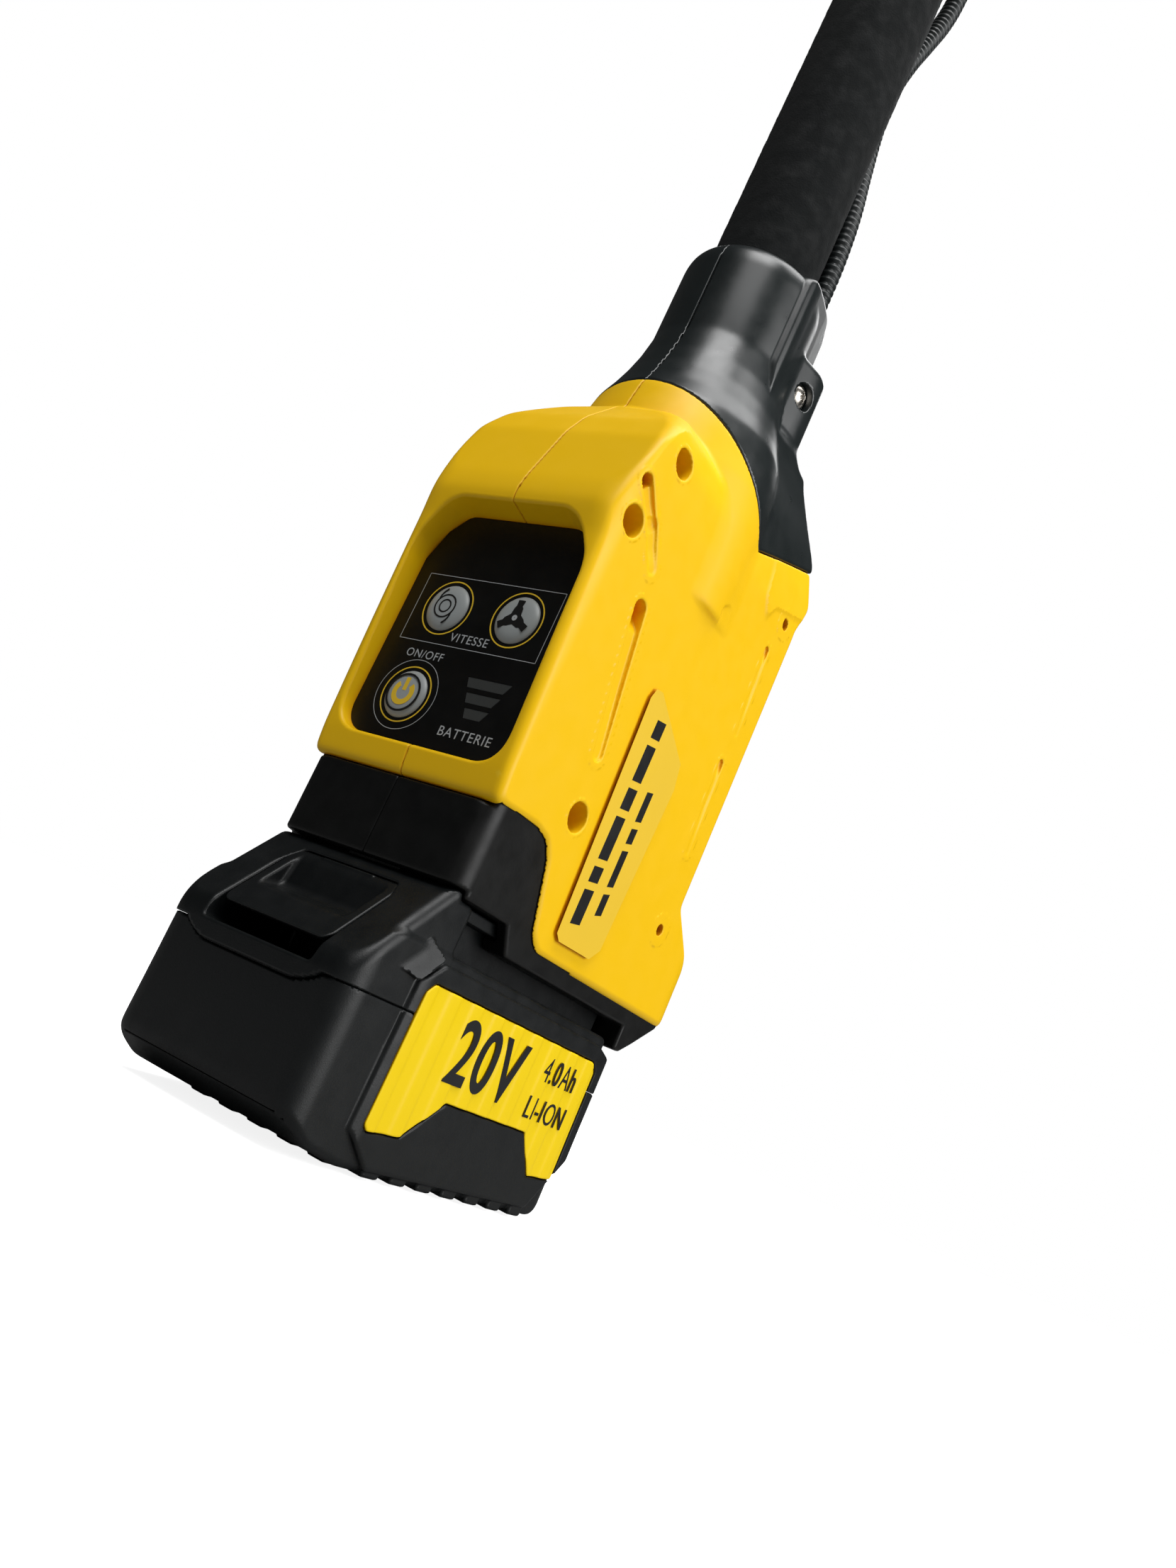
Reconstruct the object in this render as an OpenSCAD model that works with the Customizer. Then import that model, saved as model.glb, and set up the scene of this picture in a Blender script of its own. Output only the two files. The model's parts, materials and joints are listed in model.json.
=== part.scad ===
// Battery power head of a shaft-driven garden cutter: a slide-on battery, a two-part housing with
// a brushless motor, and a foam-covered drive tube with its drive shaft.
// +Z runs up the drive shaft. The origin is on the shaft axis, at the battery's underside.
// -Y is the control-panel side and +X is the side with the label.

/* [Housing] */
// Half of the housing's width
shell_half_w = 38; // [37:0.5:40]
// Wall of the moulded housing
shell_wall = 2.8; // [2.4:0.1:3]
// Height of the housing's side edge above the battery's underside
shell_foot_z = 71; // [70:0.5:72]

/* [Control panel] */
// Half of the panel's width
panel_half_w = 31; // [30:0.5:32]
// Height of the panel's lower edge
panel_z0 = 110; // [109:0.5:111]
// Height of the panel's upper edge
panel_z1 = 184; // [182:0.5:185]
// Radius of a push button
button_r = 7.5; // [6.5:0.1:8]
// Travel of a push button
button_travel = 0.6; // [0.4:0.1:0.65]

/* [Motor] */
// Outer radius of the motor's end brackets
bracket_r = 29; // [28:0.5:29.5]
// Outer radius of the stator
stator_r = 27; // [26:0.5:27.5]
// Outer radius of the rotor's magnet ring
rotor_r = 16.5; // [15.5:0.1:16.6]
// Number of stator teeth
tooth_count = 12; // [6:3:12]
// Number of magnets
magnet_count = 8; // [4:2:10]
// Number of fan blades
blade_count = 11; // [7:1:13]
// Radius of the fan
fan_r = 26; // [22:0.5:27]

/* [Drive tube] */
// Outer radius of the drive tube
tube_r = 14; // [13.5:0.1:14]
// Wall of the drive tube
tube_wall = 1.5; // [1.2:0.1:2]
// Height of the tube's upper end
tube_top = 560; // [545:5:620]
// Outer radius of the foam sleeve
sleeve_r = 19; // [17:0.5:19]
// Height of the foam sleeve's upper end
sleeve_top = 486; // [460:1:490]
// Radius of the drive shaft
shaft_r = 4; // [3.5:0.5:4]

/* [Battery] */
// Half of the battery case's width
case_half_w = 35.5; // [35:0.5:36]
// Wall of the battery case
case_wall = 2.1; // [1.8:0.1:2.2]
// Radius of one cell
cell_r = 9.15; // [9:0.05:9.2]
// Length of one cell
cell_len = 65; // [64:0.5:65]
// Travel of the release latch
latch_travel = 5; // [4.5:0.1:5.5]

/* [Hidden] */
$fn = 48;
eps = 0.01;
// Half of the gap left between two moulded halves
half_gap = 0.03;
// Gap left around a part that sits in a pocket
fit_gap = 0.05;
// Gap left between parts that slide past each other
slide_gap = 0.5;

// Housing outline seen from the side, as [y, z]
housing_side = [
    [-56, 100], [-57.3, 109], [-62, 180], [-64, 188.5], [-63, 192], [-55, 216], [-50, 225],
    [-42, 234], [-37, 239], [-13, 240], [14, 222.5], [57, 240], [62, 227], [57, 216], [57, 110],
    [73, 97], [79, 90], [77, shell_foot_z], [-12, shell_foot_z], [-17, 75], [-28, 97], [-31, 100]
];
housing_side_low_y = -64;
housing_side_high_y = 79;
// Housing outline in front of the neck, as [x, z]
housing_front_half = [
    [shell_half_w, 60], [shell_half_w, 205], [shell_half_w - 1, 218], [shell_half_w - 4, 226],
    [28, 233], [20, 238], [0, 241]
];
// Housing outline behind the neck, as [x, z]
housing_back_half = [
    [shell_half_w, 60], [shell_half_w, 214], [shell_half_w - 2, 228], [shell_half_w - 5, 242], [0, 242]
];
// Line where the yellow housing ends and the neck begins, as [y, z]
border_low = [14, 222.5];
border_front = [-70, 277];
border_back = [57, 240];
// Round shoulder that the housing and the neck share, as [radius, z]
shoulder = [
    [38, 205], [37.6, 222], [36.9, 233], [35.3, 243.4], [33.8, 250.8], [31.1, 257.1],
    [28.7, 263.9], [26.6, 271.6], [25, 281], [25, 311], [24.5, 314], [23, 316.5], [21, 317.5]
];
// Hollow of the housing seen from the side, as [y, z]
wall_y = shell_wall;
cavity_side = [
    [-56 + wall_y, 60], [-56 + wall_y, 106], [-51, 109], [-51, 186], [-60, 190], [-52, 214],
    [-46, 224], [-38, 232], [-31, 236], [-31, 262], [20, 262], [50, 237], [57 - wall_y, 217],
    [57 - wall_y, 108.5], [71, 95], [79 - wall_y, 88.5], [77 - wall_y, 60]
];
cavity_half_w = shell_half_w - shell_wall;
cavity_front_half = [
    [cavity_half_w, 50], [cavity_half_w, 205], [cavity_half_w - 1, 215], [cavity_half_w - 4.2, 222.5],
    [25.5, 229.5], [18, 234.5], [0, 237.5]
];
corner_r = 11;

// Housing screws, as [y, z, side of the head]
shell_screw_places = [[-20, 111, 1], [-53, 189, 1], [-42, 216, 1], [48, 99, -1], [47, 214, -1]];
screw_head_r = 4;
screw_head_h = 2.6;
screw_shank_r = 2;
screw_recess_r = 4.6;
boss_r = 5.6;
// Distance from the split to the underside of a housing screw's head
screw_seat_x = 22;
screw_len = 32;

// Air slots, each as its width and the [y, z] points it runs through
air_slots = [
    [3, [[-54, 201], [-44.5, 193], [-37.5, 185]]],
    [4.6, [[-33.5, 171], [-24, 131]]],
    [2.4, [[42, 200], [44.5, 171]]],
    [2.4, [[43, 157], [45, 127]]]
];
// How much wider than its slot each round end and bend is
slot_end_extra = 0.1;

// Motor levels along the shaft
rear_bracket_z = 140;
bracket_h = 9;
stator_z = 151;
stator_h = 35;
front_bracket_z = 188;
fan_z = 200;
fan_h = 12;
coupling_z = 214;
coupling_h = 24;
bearing_r = 11;
bearing_h = 7;
ball_r = 1.97;
ball_pitch_r = 7.5;
race_gap = 0.05;
ball_count = 8;

// Neck and tube levels
tube_bottom = 240;
grip_z = 258;
sleeve_bottom = 292;
depth_ring_z = 500;
// Conduit path, as [x, y, z]
conduit_path = [
    [12, 21, 304], [12, 21, 330], [11.4, 21.4, 350], [8.8, 22.6, 372], [4.4, 24, 395],
    [1, 24.6, 418], [0, 25.6, 438], [0, 29, 455], [0, 34.4, 472], [0, 39.6, 489],
    [0, 42, 505], [0, 42, 528]
];
conduit_r = 4;
conduit_bore_r = 2.6;
plug_r = 7.5;
plug_len = 30;
// Gap between the conduit's end and the plug
plug_gap = 0.2;
cable_path = [
    [12, 21.7, 322], [12, 21.7, 290], [12, 21.7, 262], [10, 31, 247], [8, 36, 232], [8, 36, 180],
    [8, 36, 120.7]
];
cable_r = 1.7;
path_sides = 14;

// Control panel, with places as [x, z]
panel_y = -53.7;
panel_t = 2.5;
power_place = [-13.4, 124];
line_place = [-13.4, 152.9];
blade_place = [13.3, 152.9];
button_places = [power_place, line_place, blade_place];
button_rise = 1.4;
board_t = 1.6;
panel_board_y = -47.4;
// Battery gauge bars as [z0, z1, half width]
gauge_x = 14;
gauge_bars = [[130.2, 133.4, 8.2], [125.6, 128.8, 6.4], [121, 124.2, 4.6]];
gauge_mid_z = 127.2;
// Depth behind the panel's face at which the lens widens into one block
lens_step = 0.9;

// Seat of the battery, seen from the side, as [y, z]
seat_side = [
    [-56, 76.3], [-56, 99.8], [-53, 99.8], [-53, 106], [-50.5, 106], [-50.5, 104.5],
    [-18, 104.5], [-18, 92], [60, 92], [74, 80], [73.5, 70.5], [62, 62], [56, 58], [52.3, 58],
    [52.3, 66.2], [-23, 66.2], [-28, 74.3], [-49.5, 74.3], [-49.5, 76.3]
];
seat_half_w = 35;
rail_z0 = 66.2;
rail_z1 = 69.5;
rail_inner_x = 26.6;
seat_plate_z0 = 74.2;
seat_plate_z1 = 77.2;

// Battery outlines seen from the side, as [y, z]
case_front_y = -77.5;
case_back_y = 50;
case_split_z = 42.5;
nose_foot_z = 48;
nose_top_y = -53.5;
nose_top_z = 76;
nose_slope = (nose_top_z - nose_foot_z) / (nose_top_y - case_front_y);
shoulder_z = 60;
tongue_half_w = 26;
tongue_z = 73.6;
flange_half_w = 30.6;
flange_z0 = 70.1;
lower_case_side = [
    [case_front_y, case_split_z], [case_front_y, 10], [-66, 3.5], [-52, 1.2], [44, 1.2],
    [case_back_y, 6], [case_back_y, case_split_z]
];
nose_side = [
    [case_front_y, case_split_z + fit_gap], [case_front_y, nose_top_z], [-50, nose_top_z], [-50, tongue_z],
    [-43.5, tongue_z], [-43.5, case_split_z + fit_gap]
];
// Where the split dips below the latch, as [x, z]
seam_dip_half = [[26.5, case_split_z + 1], [26.5, case_split_z], [20.5, 38.4]];
case_corner_r = 8;
pad_side = [
    [-54.8, 50.5], [-47.7, 57], [40.3, 56.8], [47.4, 54.4], [47.5, 20.5], [35.1, 3.7],
    [-44, 2.4], [-55.7, 11.1]
];
pad_rise = 2;
inlay_side = [
    [-51.2, 48.8], [-48.8, 51.4], [39.6, 51.4], [42.6, 48.6], [43, 13.8], [28.8, 12.9],
    [18.4, 24.6], [-23.5, 24.6], [-36.5, 12.7], [-50.2, 11.8], [-51.8, 13.2]
];
inlay_depth = 1.2;
rib_pitch = 12;
rib_w = 7;
window_half_w = 21;
window_z0 = 44;
window_z1 = 71.5;
latch_half_w = 20.5;
latch_z0 = 50;
latch_z1 = 71.2;
hook_half_w = 10;
hook_y0 = -50;
hook_y1 = -45;
hook_top = 81;
spring_z0 = 45;
spring_z1 = 61.8;
spring_y = -48.5;
spring_r = 2.6;
spring_wire_r = 0.35;
spring_turns = 6;
cell_pitch = 18.7;
cell_first_y = -43.3;
cell_rows_z = [12, 31];
cell_columns = 5;
contact_xs = [-15, -5, 5, 15];
case_screw_places = [[-27, -60], [27, -60], [-27.5, 44.3], [27.5, 44.3]];
case_screw_r = 1.5;
case_post_r = 3.5;
case_screw_head_z = 9;
case_screw_top = 53;

// Height on the nose's slope gives the y of its surface
function nose_y(z) = case_front_y + (z - nose_foot_z) / nose_slope;
// Closes a half outline by adding its mirror image
function both_sides(p) = concat(p, [for (i = [len(p) - 1:-1:0]) if (p[i][0] != 0) [-p[i][0], p[i][1]]]);

// Extrudes an outline of [y, z] points along X, from x0 to x1
module along_x(x0, x1) {
    translate([x0, 0, 0]) rotate([90, 0, 90]) linear_extrude(x1 - x0) children();
}

// Extrudes an outline of [x, z] points along Y, from y0 to y1
module along_y(y0, y1) {
    translate([0, y1, 0]) rotate([90, 0, 0]) linear_extrude(y1 - y0) children();
}

// Box given by its two corners
module box(low, high) {
    translate(low) cube(high - low);
}

// Upright block with four rounded corners
module rounded_block(low, high, r) {
    box([low[0] + r, low[1], low[2]], [high[0] - r, high[1], high[2]]);
    box([low[0], low[1] + r, low[2]], [high[0], high[1] - r, high[2]]);
    for (x = [low[0] + r, high[0] - r], y = [low[1] + r, high[1] - r])
        translate([x, y, low[2]]) cylinder(r = r, h = high[2] - low[2]);
}

// Cylinder along X between two x values
module rod_x(x0, x1, y, z, r) {
    translate([x0, y, z]) rotate([0, 90, 0]) cylinder(r = r, h = x1 - x0);
}

// Round-ended slot cut along X, of width w, through a list of [y, z] points
module slot_x(x0, x1, w, path) {
    for (i = [0:len(path) - 2]) {
        run = path[i + 1] - path[i];
        translate([x0, path[i][0], path[i][1]]) rotate([atan2(run[1], run[0]), 0, 0])
            translate([0, 0, -w / 2]) cube([x1 - x0, norm(run), w]);
    }
    for (p = path) rod_x(x0, x1, p[0], p[1], (w + slot_end_extra) / 2);
}

// Point at t on the curve that passes through b and c
function curve_point(a, b, c, d, t) =
    b + 0.5 * t * (c - a + t * (2 * a - 5 * b + 4 * c - d + t * (3 * (b - c) + d - a)));

// Rounds off a path, with n steps between its points
function smooth_path(p, n) = concat(
    [for (i = [0:len(p) - 2], k = [0:n - 1])
        curve_point(p[max(i - 1, 0)], p[i], p[i + 1], p[min(i + 2, len(p) - 1)], k / n)],
    [p[len(p) - 1]]
);

function unit(v) = v / norm(v);
function heading(p, i) = unit(p[min(i + 1, len(p) - 1)] - p[max(i - 1, 0)]);

// Round rod swept along a list of points
module swept_rod(path, r, sides) {
    points = [for (i = [0:len(path) - 1], j = [0:sides - 1])
        let (t = heading(path, i), u = unit(cross([1, 0, 0], t)), v = cross(t, u), a = j * 360 / sides)
        path[i] + r * (cos(a) * u + sin(a) * v)];
    polyhedron(points, tube_faces(len(path) - 1, sides));
}

// Faces of a closed round tube of given steps, with a cap at each end
function tube_faces(steps, sides) = concat(
    [[for (j = [0:sides - 1]) j]],
    [[for (j = [sides - 1:-1:0]) steps * sides + j]],
    [for (i = [0:steps - 1], j = [0:sides - 1])
        [i * sides + j, (i + 1) * sides + j, (i + 1) * sides + (j + 1) % sides, i * sides + (j + 1) % sides]]
);

module ring(r_in, r_out, z, h) {
    translate([0, 0, z]) difference() {
        cylinder(r = r_out, h = h);
        translate([0, 0, -1]) cylinder(r = r_in, h = h + 2);
    }
}

// Pan-head screw along X, with the underside of its head at x = 0 and its tip towards -X
module pan_screw(length) {
    rotate([0, -90, 0]) cylinder(r = screw_shank_r - fit_gap, h = length);
    difference() {
        rotate([0, 90, 0]) cylinder(r1 = screw_head_r, r2 = screw_head_r - 0.9, h = screw_head_h);
        for (a = [0, 90]) rotate([a, 0, 0]) box([1, -0.5, -2], [4, 0.5, 2]);
    }
}

// Keeps the +X half for side 1 and the -X half for side -1
module half(side) {
    intersection() {
        children();
        if (side > 0) box([half_gap, -150, -10], [150, 150, 700]);
        else box([-150, -150, -10], [-half_gap, 150, 700]);
    }
}

// ---- Housing ----

module shoulder_solid(z0, z1, inset) {
    intersection() {
        rotate_extrude($fn = 96) polygon(concat([[0, shoulder[0][1]]],
            [for (p = shoulder) [p[0] - inset, p[1]]], [[0, 317.5]]));
        box([-60, -60, z0], [60, 60, z1]);
    }
}

module housing_outer() {
    intersection() {
        along_x(-60, 60) polygon(housing_side);
        along_y(-80, border_low[0]) polygon(both_sides(housing_front_half));
        rounded_block([-shell_half_w, housing_side_low_y, 60], [shell_half_w, 99, 260], corner_r);
    }
    intersection() {
        along_x(-60, 60) polygon(housing_side);
        along_y(border_low[0] - eps, 90) polygon(both_sides(housing_back_half));
        rounded_block([-shell_half_w, -99, 60], [shell_half_w, housing_side_high_y, 260], corner_r);
    }
    intersection() {
        shoulder_solid(206, 262, 0);
        along_x(-60, 60) polygon([[-70, 200], border_front, border_low, [border_low[0], 200]]);
    }
}

module housing_cavity(gap) {
    intersection() {
        along_x(-60, 60) polygon(cavity_side);
        union() {
            intersection() {
                rounded_block([gap - cavity_half_w, -60, 50], [cavity_half_w - gap, 99, 238], corner_r - shell_wall);
                along_y(-80, border_low[0]) polygon(both_sides(cavity_front_half));
            }
            rounded_block([gap - cavity_half_w, 0, 50], [cavity_half_w - gap, 99, 222], corner_r - shell_wall);
            shoulder_solid(206, 270, shell_wall + gap);
            box([-30, border_low[0], 205], [30, 60, 240]);
        }
    }
    box([-32.5, -10, 60], [32.5, 48, 80]);
}

module panel_outline(gap) {
    w = panel_half_w - gap;
    z0 = panel_z0 + gap;
    z1 = panel_z1 - gap;
    polygon(both_sides([[w - 5, z0], [w, z0 + 5], [w, z1 - 16], [w - 4, z1 - 6], [w - 10, z1]]));
    for (side = [-1, 1]) translate([side * (w - 5), z0 + 5]) circle(r = 5);
}

module motor_ribs() {
    for (z = [rear_bracket_z + 2, front_bracket_z + 2]) difference() {
        intersection() {
            housing_cavity(-0.5);
            box([-40, -31, z], [40, 31, z + 3]);
        }
        translate([0, 0, z - 1]) cylinder(r = bracket_r + fit_gap, h = 5);
    }
}

module shell_bosses() {
    for (s = shell_screw_places) rod_x(-cavity_half_w - 0.5, cavity_half_w + 0.5, s[0], s[1], boss_r);
}

module shell_screw_cuts() {
    for (s = shell_screw_places) {
        rod_x(-30, 30, s[0], s[1], screw_shank_r);
        if (s[2] > 0) rod_x(screw_seat_x, 50, s[0], s[1], screw_recess_r);
        else rod_x(-50, -screw_seat_x, s[0], s[1], screw_recess_r);
    }
}

module shell_half(side) {
    half(side) difference() {
        union() {
            difference() {
                housing_outer();
                housing_cavity(0);
            }
            intersection() {
                housing_outer();
                union() {
                    motor_ribs();
                    shell_bosses();
                }
            }
        }
        along_y(-75, -50) panel_outline(0);
        shell_screw_cuts();
        for (s = air_slots) slot_x(side * 40 - 9, side * 40 + 9, s[0], s[1]);
    }
}

module shell_right() {
    color("gold") shell_half(1);
}

module shell_left() {
    color("gold") shell_half(-1);
}

module shell_screws() {
    color("silver") for (s = shell_screw_places)
        translate([s[2] * screw_seat_x, s[0], s[1]]) mirror([s[2] > 0 ? 0 : 1, 0, 0]) pan_screw(screw_len);
}

module side_label() {
    label_x = shell_half_w + 0.02;
    outline = [
        [-8, 79.5], [-5.5, 77.7], [13, 78], [17, 82], [20, 138], [17.6, 146], [-7.5, 158.6],
        [-11, 158], [-12.3, 154.5]
    ];
    color("khaki") along_x(label_x, label_x + 0.15) polygon(outline);
}

// ---- Battery seat ----

module seat_solid() {
    difference() {
        intersection() {
            along_x(-seat_half_w, seat_half_w) polygon(seat_side);
            rounded_block([-seat_half_w, -56, 50], [seat_half_w, 80, 110], 7);
        }
        // Room inside, above the plate
        box([-32.4, -52.5, seat_plate_z1], [32.4, 72, 110]);
        // Channel for the battery's tongue and its flanges
        box([-rail_inner_x, -60, 60], [rail_inner_x, 52, seat_plate_z0]);
        box([-31.2, -60, rail_z1], [31.2, 52, seat_plate_z0]);
        // Pocket for the latch hook
        box([-hook_half_w - 2, -50.4, 60], [hook_half_w + 2, -41, 82]);
        // Opening for the terminals
        box([-20, 16, 70], [20, 44, 80]);
    }
    // Wall that the hook bears against
    difference() {
        box([-32.4, -53, seat_plate_z1], [32.4, -50.4, 90]);
        box([-half_gap, -60, 70], [half_gap, 0, 95]);
    }
}

module seat_right() {
    color("dimgray") half(1) seat_solid();
}

module seat_left() {
    color("dimgray") half(-1) seat_solid();
}

module terminal_block() {
    color("darkgreen") difference() {
        box([-22, 13, seat_plate_z1 + fit_gap], [22, 47, 90]);
        for (x = contact_xs) box([x - 0.6, 20, 70], [x + 0.6, 42, 86.1]);
        box([-19.5, 17, 70], [19.5, 43, 80]);
    }
}

module terminal_blades() {
    color("gold") for (x = contact_xs) box([x - 0.5, 22, 64], [x + 0.5, 41, 86]);
}

module power_leads() {
    color("red") for (x = [-15, 15]) translate([x, 30, 90.02]) cylinder(r = 1.7, h = 118.97 - 90.02);
}

// ---- Control panel ----

module panel_plate() {
    color("black") difference() {
        along_y(panel_y, panel_y + panel_t) panel_outline(0.1);
        for (p = button_places) along_y(-60, -40) translate(p) circle(r = button_r + 0.1);
        for (b = gauge_bars) along_y(-60, panel_y + 1) gauge_bar(b, 0);
        along_y(panel_y + lens_step, -40) translate([gauge_x, gauge_mid_z]) square([12, 16], center = true);
    }
}

module gauge_bar(b, gap) {
    slant = 1;
    polygon([
        [gauge_x - b[2] + gap + slant, b[0] + gap], [gauge_x + b[2] - gap - 2 * slant, b[0] + gap],
        [gauge_x + b[2] - gap, b[1] - gap], [gauge_x - b[2] + gap, b[1] - gap]
    ]);
}

module gauge_lens() {
    color("lightgray") {
        for (b = gauge_bars) along_y(panel_y + 0.1, panel_y + 0.98) gauge_bar(b, 0.08);
        along_y(panel_y + lens_step + fit_gap, panel_y + 2.2) translate([gauge_x, gauge_mid_z]) square([11.6, 15.6], center = true);
    }
}

module panel_board() {
    color("green") along_y(panel_board_y, panel_board_y + board_t) square_board(28, 113, 181);
}

module square_board(half_w, z0, z1) {
    translate([-half_w, z0]) square([2 * half_w, z1 - z0]);
}

module panel_switches() {
    color("silver") for (p = button_places) {
        along_y(panel_board_y - 2, panel_board_y - eps) translate(p) square(6, center = true);
        along_y(panel_board_y - 2.4, panel_board_y - 1.9) translate(p) circle(r = 1.6);
    }
}

module gauge_leds() {
    color("white") for (b = gauge_bars)
        along_y(panel_board_y - 1.2, panel_board_y - eps) translate([gauge_x, (b[0] + b[1]) / 2]) square([3, 1.6], center = true);
}

module push_button(place) {
    stem_end = panel_board_y - 2.4 - button_travel - 0.1;
    translate([place[0], 0, place[1]]) rotate([90, 0, 0]) rotate_extrude() polygon([
        [0, -stem_end], [button_r, -stem_end], [button_r, -panel_y + 0.6], [button_r - 1, -panel_y + button_rise * 0.8],
        [button_r * 0.5, -panel_y + button_rise], [0, -panel_y + button_rise]
    ]);
}

module power_button() {
    color("lightgray") push_button(power_place);
}

module line_speed_button() {
    color("lightgray") push_button(line_place);
}

module blade_speed_button() {
    color("lightgray") push_button(blade_place);
}

// ---- Controller ----

module controller_board() {
    color("green") box([-32, -44, 119], [32, 50, 119 + board_t]);
}

module controller_heatsink() {
    color("silver") {
        box([-26, -10, 125], [26, 12, 127.5]);
        for (i = [-5:5]) box([i * 4.8 - 0.6, -10, 127], [i * 4.8 + 0.6, 12, 137]);
    }
}

module controller_mosfets() {
    color("black") for (x = [-20, -8, 4, 16], y = [-7, 4]) box([x, y, 120.65], [x + 8, y + 6, 124.95]);
}

module controller_capacitors() {
    color("navy") for (x = [-12, 12]) translate([x, -34, 120.65]) cylinder(r = 8, h = 17);
}

// ---- Motor ----

module bracket(z, pocket_z) {
    difference() {
        translate([0, 0, z]) cylinder(r = bracket_r, h = bracket_h);
        translate([0, 0, pocket_z]) cylinder(r = bearing_r + 0.02, h = bearing_h + 0.02);
        translate([0, 0, z - 1]) cylinder(r = 8.5, h = bracket_h + 2);
        for (a = [0:60:300]) rotate([0, 0, a]) translate([19.5, 0, z - 1]) cylinder(r = 4.6, h = bracket_h + 2);
    }
}

module motor_rear_bracket() {
    color("silver") bracket(rear_bracket_z, rear_bracket_z + 2);
}

module motor_front_bracket() {
    color("silver") bracket(front_bracket_z, front_bracket_z);
}

module motor_stator() {
    color("slategray") {
        ring(23, stator_r, stator_z, stator_h);
        for (i = [0:tooth_count - 1]) rotate([0, 0, i * 360 / tooth_count]) {
            box([18.4, -1.6, stator_z], [23.4, 1.6, stator_z + stator_h]);
            intersection() {
                ring(rotor_r + 0.7, 18.6, stator_z, stator_h);
                box([10, -3.6, stator_z], [20, 3.6, stator_z + stator_h]);
            }
        }
    }
}

module motor_coils() {
    color("chocolate") for (i = [0:tooth_count - 1]) rotate([0, 0, i * 360 / tooth_count]) difference() {
        box([18.9, -3, stator_z - 1], [22.6, 3, stator_z + stator_h + 1]);
        box([18, -1.65, stator_z - fit_gap], [24, 1.65, stator_z + stator_h + fit_gap]);
    }
}

module motor_leads() {
    color("orange") for (a = [-60, -120, 60])
        rotate([0, 0, a]) translate([19.5, 0, 120.65]) cylinder(r = 1.2, h = stator_z - 1.05 - 120.65);
}

module rotor_core() {
    color("gray") ring(shaft_r + eps, 13.4, stator_z + 1, stator_h - 2);
}

module rotor_magnets() {
    step = 360 / magnet_count;
    color("dimgray") for (i = [0:magnet_count - 1]) rotate([0, 0, i * step]) intersection() {
        ring(13.4 + eps, rotor_r, stator_z + 2, stator_h - 4);
        box([0, -4.8, stator_z], [20, 4.8, stator_z + stator_h]);
    }
}

module motor_shaft() {
    color("silver") translate([0, 0, 138.5]) cylinder(r = shaft_r, h = coupling_z + 10 - 138.5);
}

module cooling_fan() {
    color("black") {
        ring(shaft_r + eps, 9, fan_z, fan_h);
        ring(8.5, fan_r, fan_z, 1.6);
        for (i = [0:blade_count - 1]) rotate([0, 0, i * 360 / blade_count])
            translate([8.4, 0, fan_z + 1]) rotate([0, 0, 18]) cube([fan_r - 9.6, 1.4, fan_h - 2]);
    }
}

module race_groove() {
    rotate_extrude() translate([ball_pitch_r, 0]) circle(r = ball_r + race_gap, $fn = 32);
}

module bearing_outer(z) {
    translate([0, 0, z]) difference() {
        ring(8.9, bearing_r, 0, bearing_h);
        translate([0, 0, bearing_h / 2]) race_groove();
    }
}

module bearing_inner(z) {
    translate([0, 0, z]) difference() {
        ring(shaft_r + eps, 6.1, 0, bearing_h);
        translate([0, 0, bearing_h / 2]) race_groove();
    }
}

module bearing_balls(z) {
    translate([0, 0, z + bearing_h / 2]) {
        for (i = [0:ball_count - 1]) rotate([0, 0, i * 360 / ball_count])
            translate([ball_pitch_r, 0, 0]) sphere(r = ball_r, $fn = 32);
        ring(7, 8, -0.6, 1.2);
    }
}

module rear_bearing_outer() {
    color("silver") bearing_outer(rear_bracket_z + 2.01);
}

module rear_bearing_inner() {
    color("silver") bearing_inner(rear_bracket_z + 2.01);
}

module rear_bearing_balls() {
    color("silver") bearing_balls(rear_bracket_z + 2.01);
}

module front_bearing_outer() {
    color("silver") bearing_outer(front_bracket_z);
}

module front_bearing_inner() {
    color("silver") bearing_inner(front_bracket_z);
}

module front_bearing_balls() {
    color("silver") bearing_balls(front_bracket_z);
}

// ---- Drive line ----

module shaft_coupling() {
    color("silver") difference() {
        translate([0, 0, coupling_z]) cylinder(r = 9, h = coupling_h);
        translate([0, 0, coupling_z - 1]) cylinder(r = shaft_r + eps, h = coupling_h + 2);
        for (z = [coupling_z + 5, coupling_z + 19]) rod_x(0, 20, 0, z, 1.6);
    }
}

module drive_shaft() {
    square_end = 14;
    shaft_top = tube_top - 7;
    color("silver") {
        translate([0, 0, coupling_z + 11]) cylinder(r = shaft_r, h = shaft_top - square_end - coupling_z - 11);
        box([-2.6, -2.6, shaft_top - square_end - 1], [2.6, 2.6, shaft_top]);
    }
}

module shaft_bushes() {
    color("tan") for (z = [270, 390, tube_top - 45])
        ring(shaft_r + 0.04, tube_r - tube_wall - 0.02, z, 14);
}

module drive_tube() {
    color("gray") difference() {
        ring(tube_r - tube_wall, tube_r, tube_bottom, tube_top - tube_bottom);
        ring(tube_r - 0.3, tube_r + 1, depth_ring_z, 1);
    }
}

module foam_sleeve() {
    color("black") ring(tube_r + 0.1, sleeve_r, sleeve_bottom, sleeve_top - sleeve_bottom);
}

// ---- Neck ----

// Outline of the neck's back, as [y, z]
neck_side = [
    [-8, 226], [14, 216], [57, 232], border_back, [54, 245], [40, 260], [34, 268], [31, 277], [30.5, 296],
    [28, 301], [30, 307], [28.5, 317], [22, 324], [8, 321], [-8, 316]
];
// Outline of the neck's back, as [x, z]
neck_back_half = [[36, 220], [34, 238], [32.5, 244], [30, 253], [27.6, 263], [27, 273], [27, 326], [0, 326]];
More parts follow.
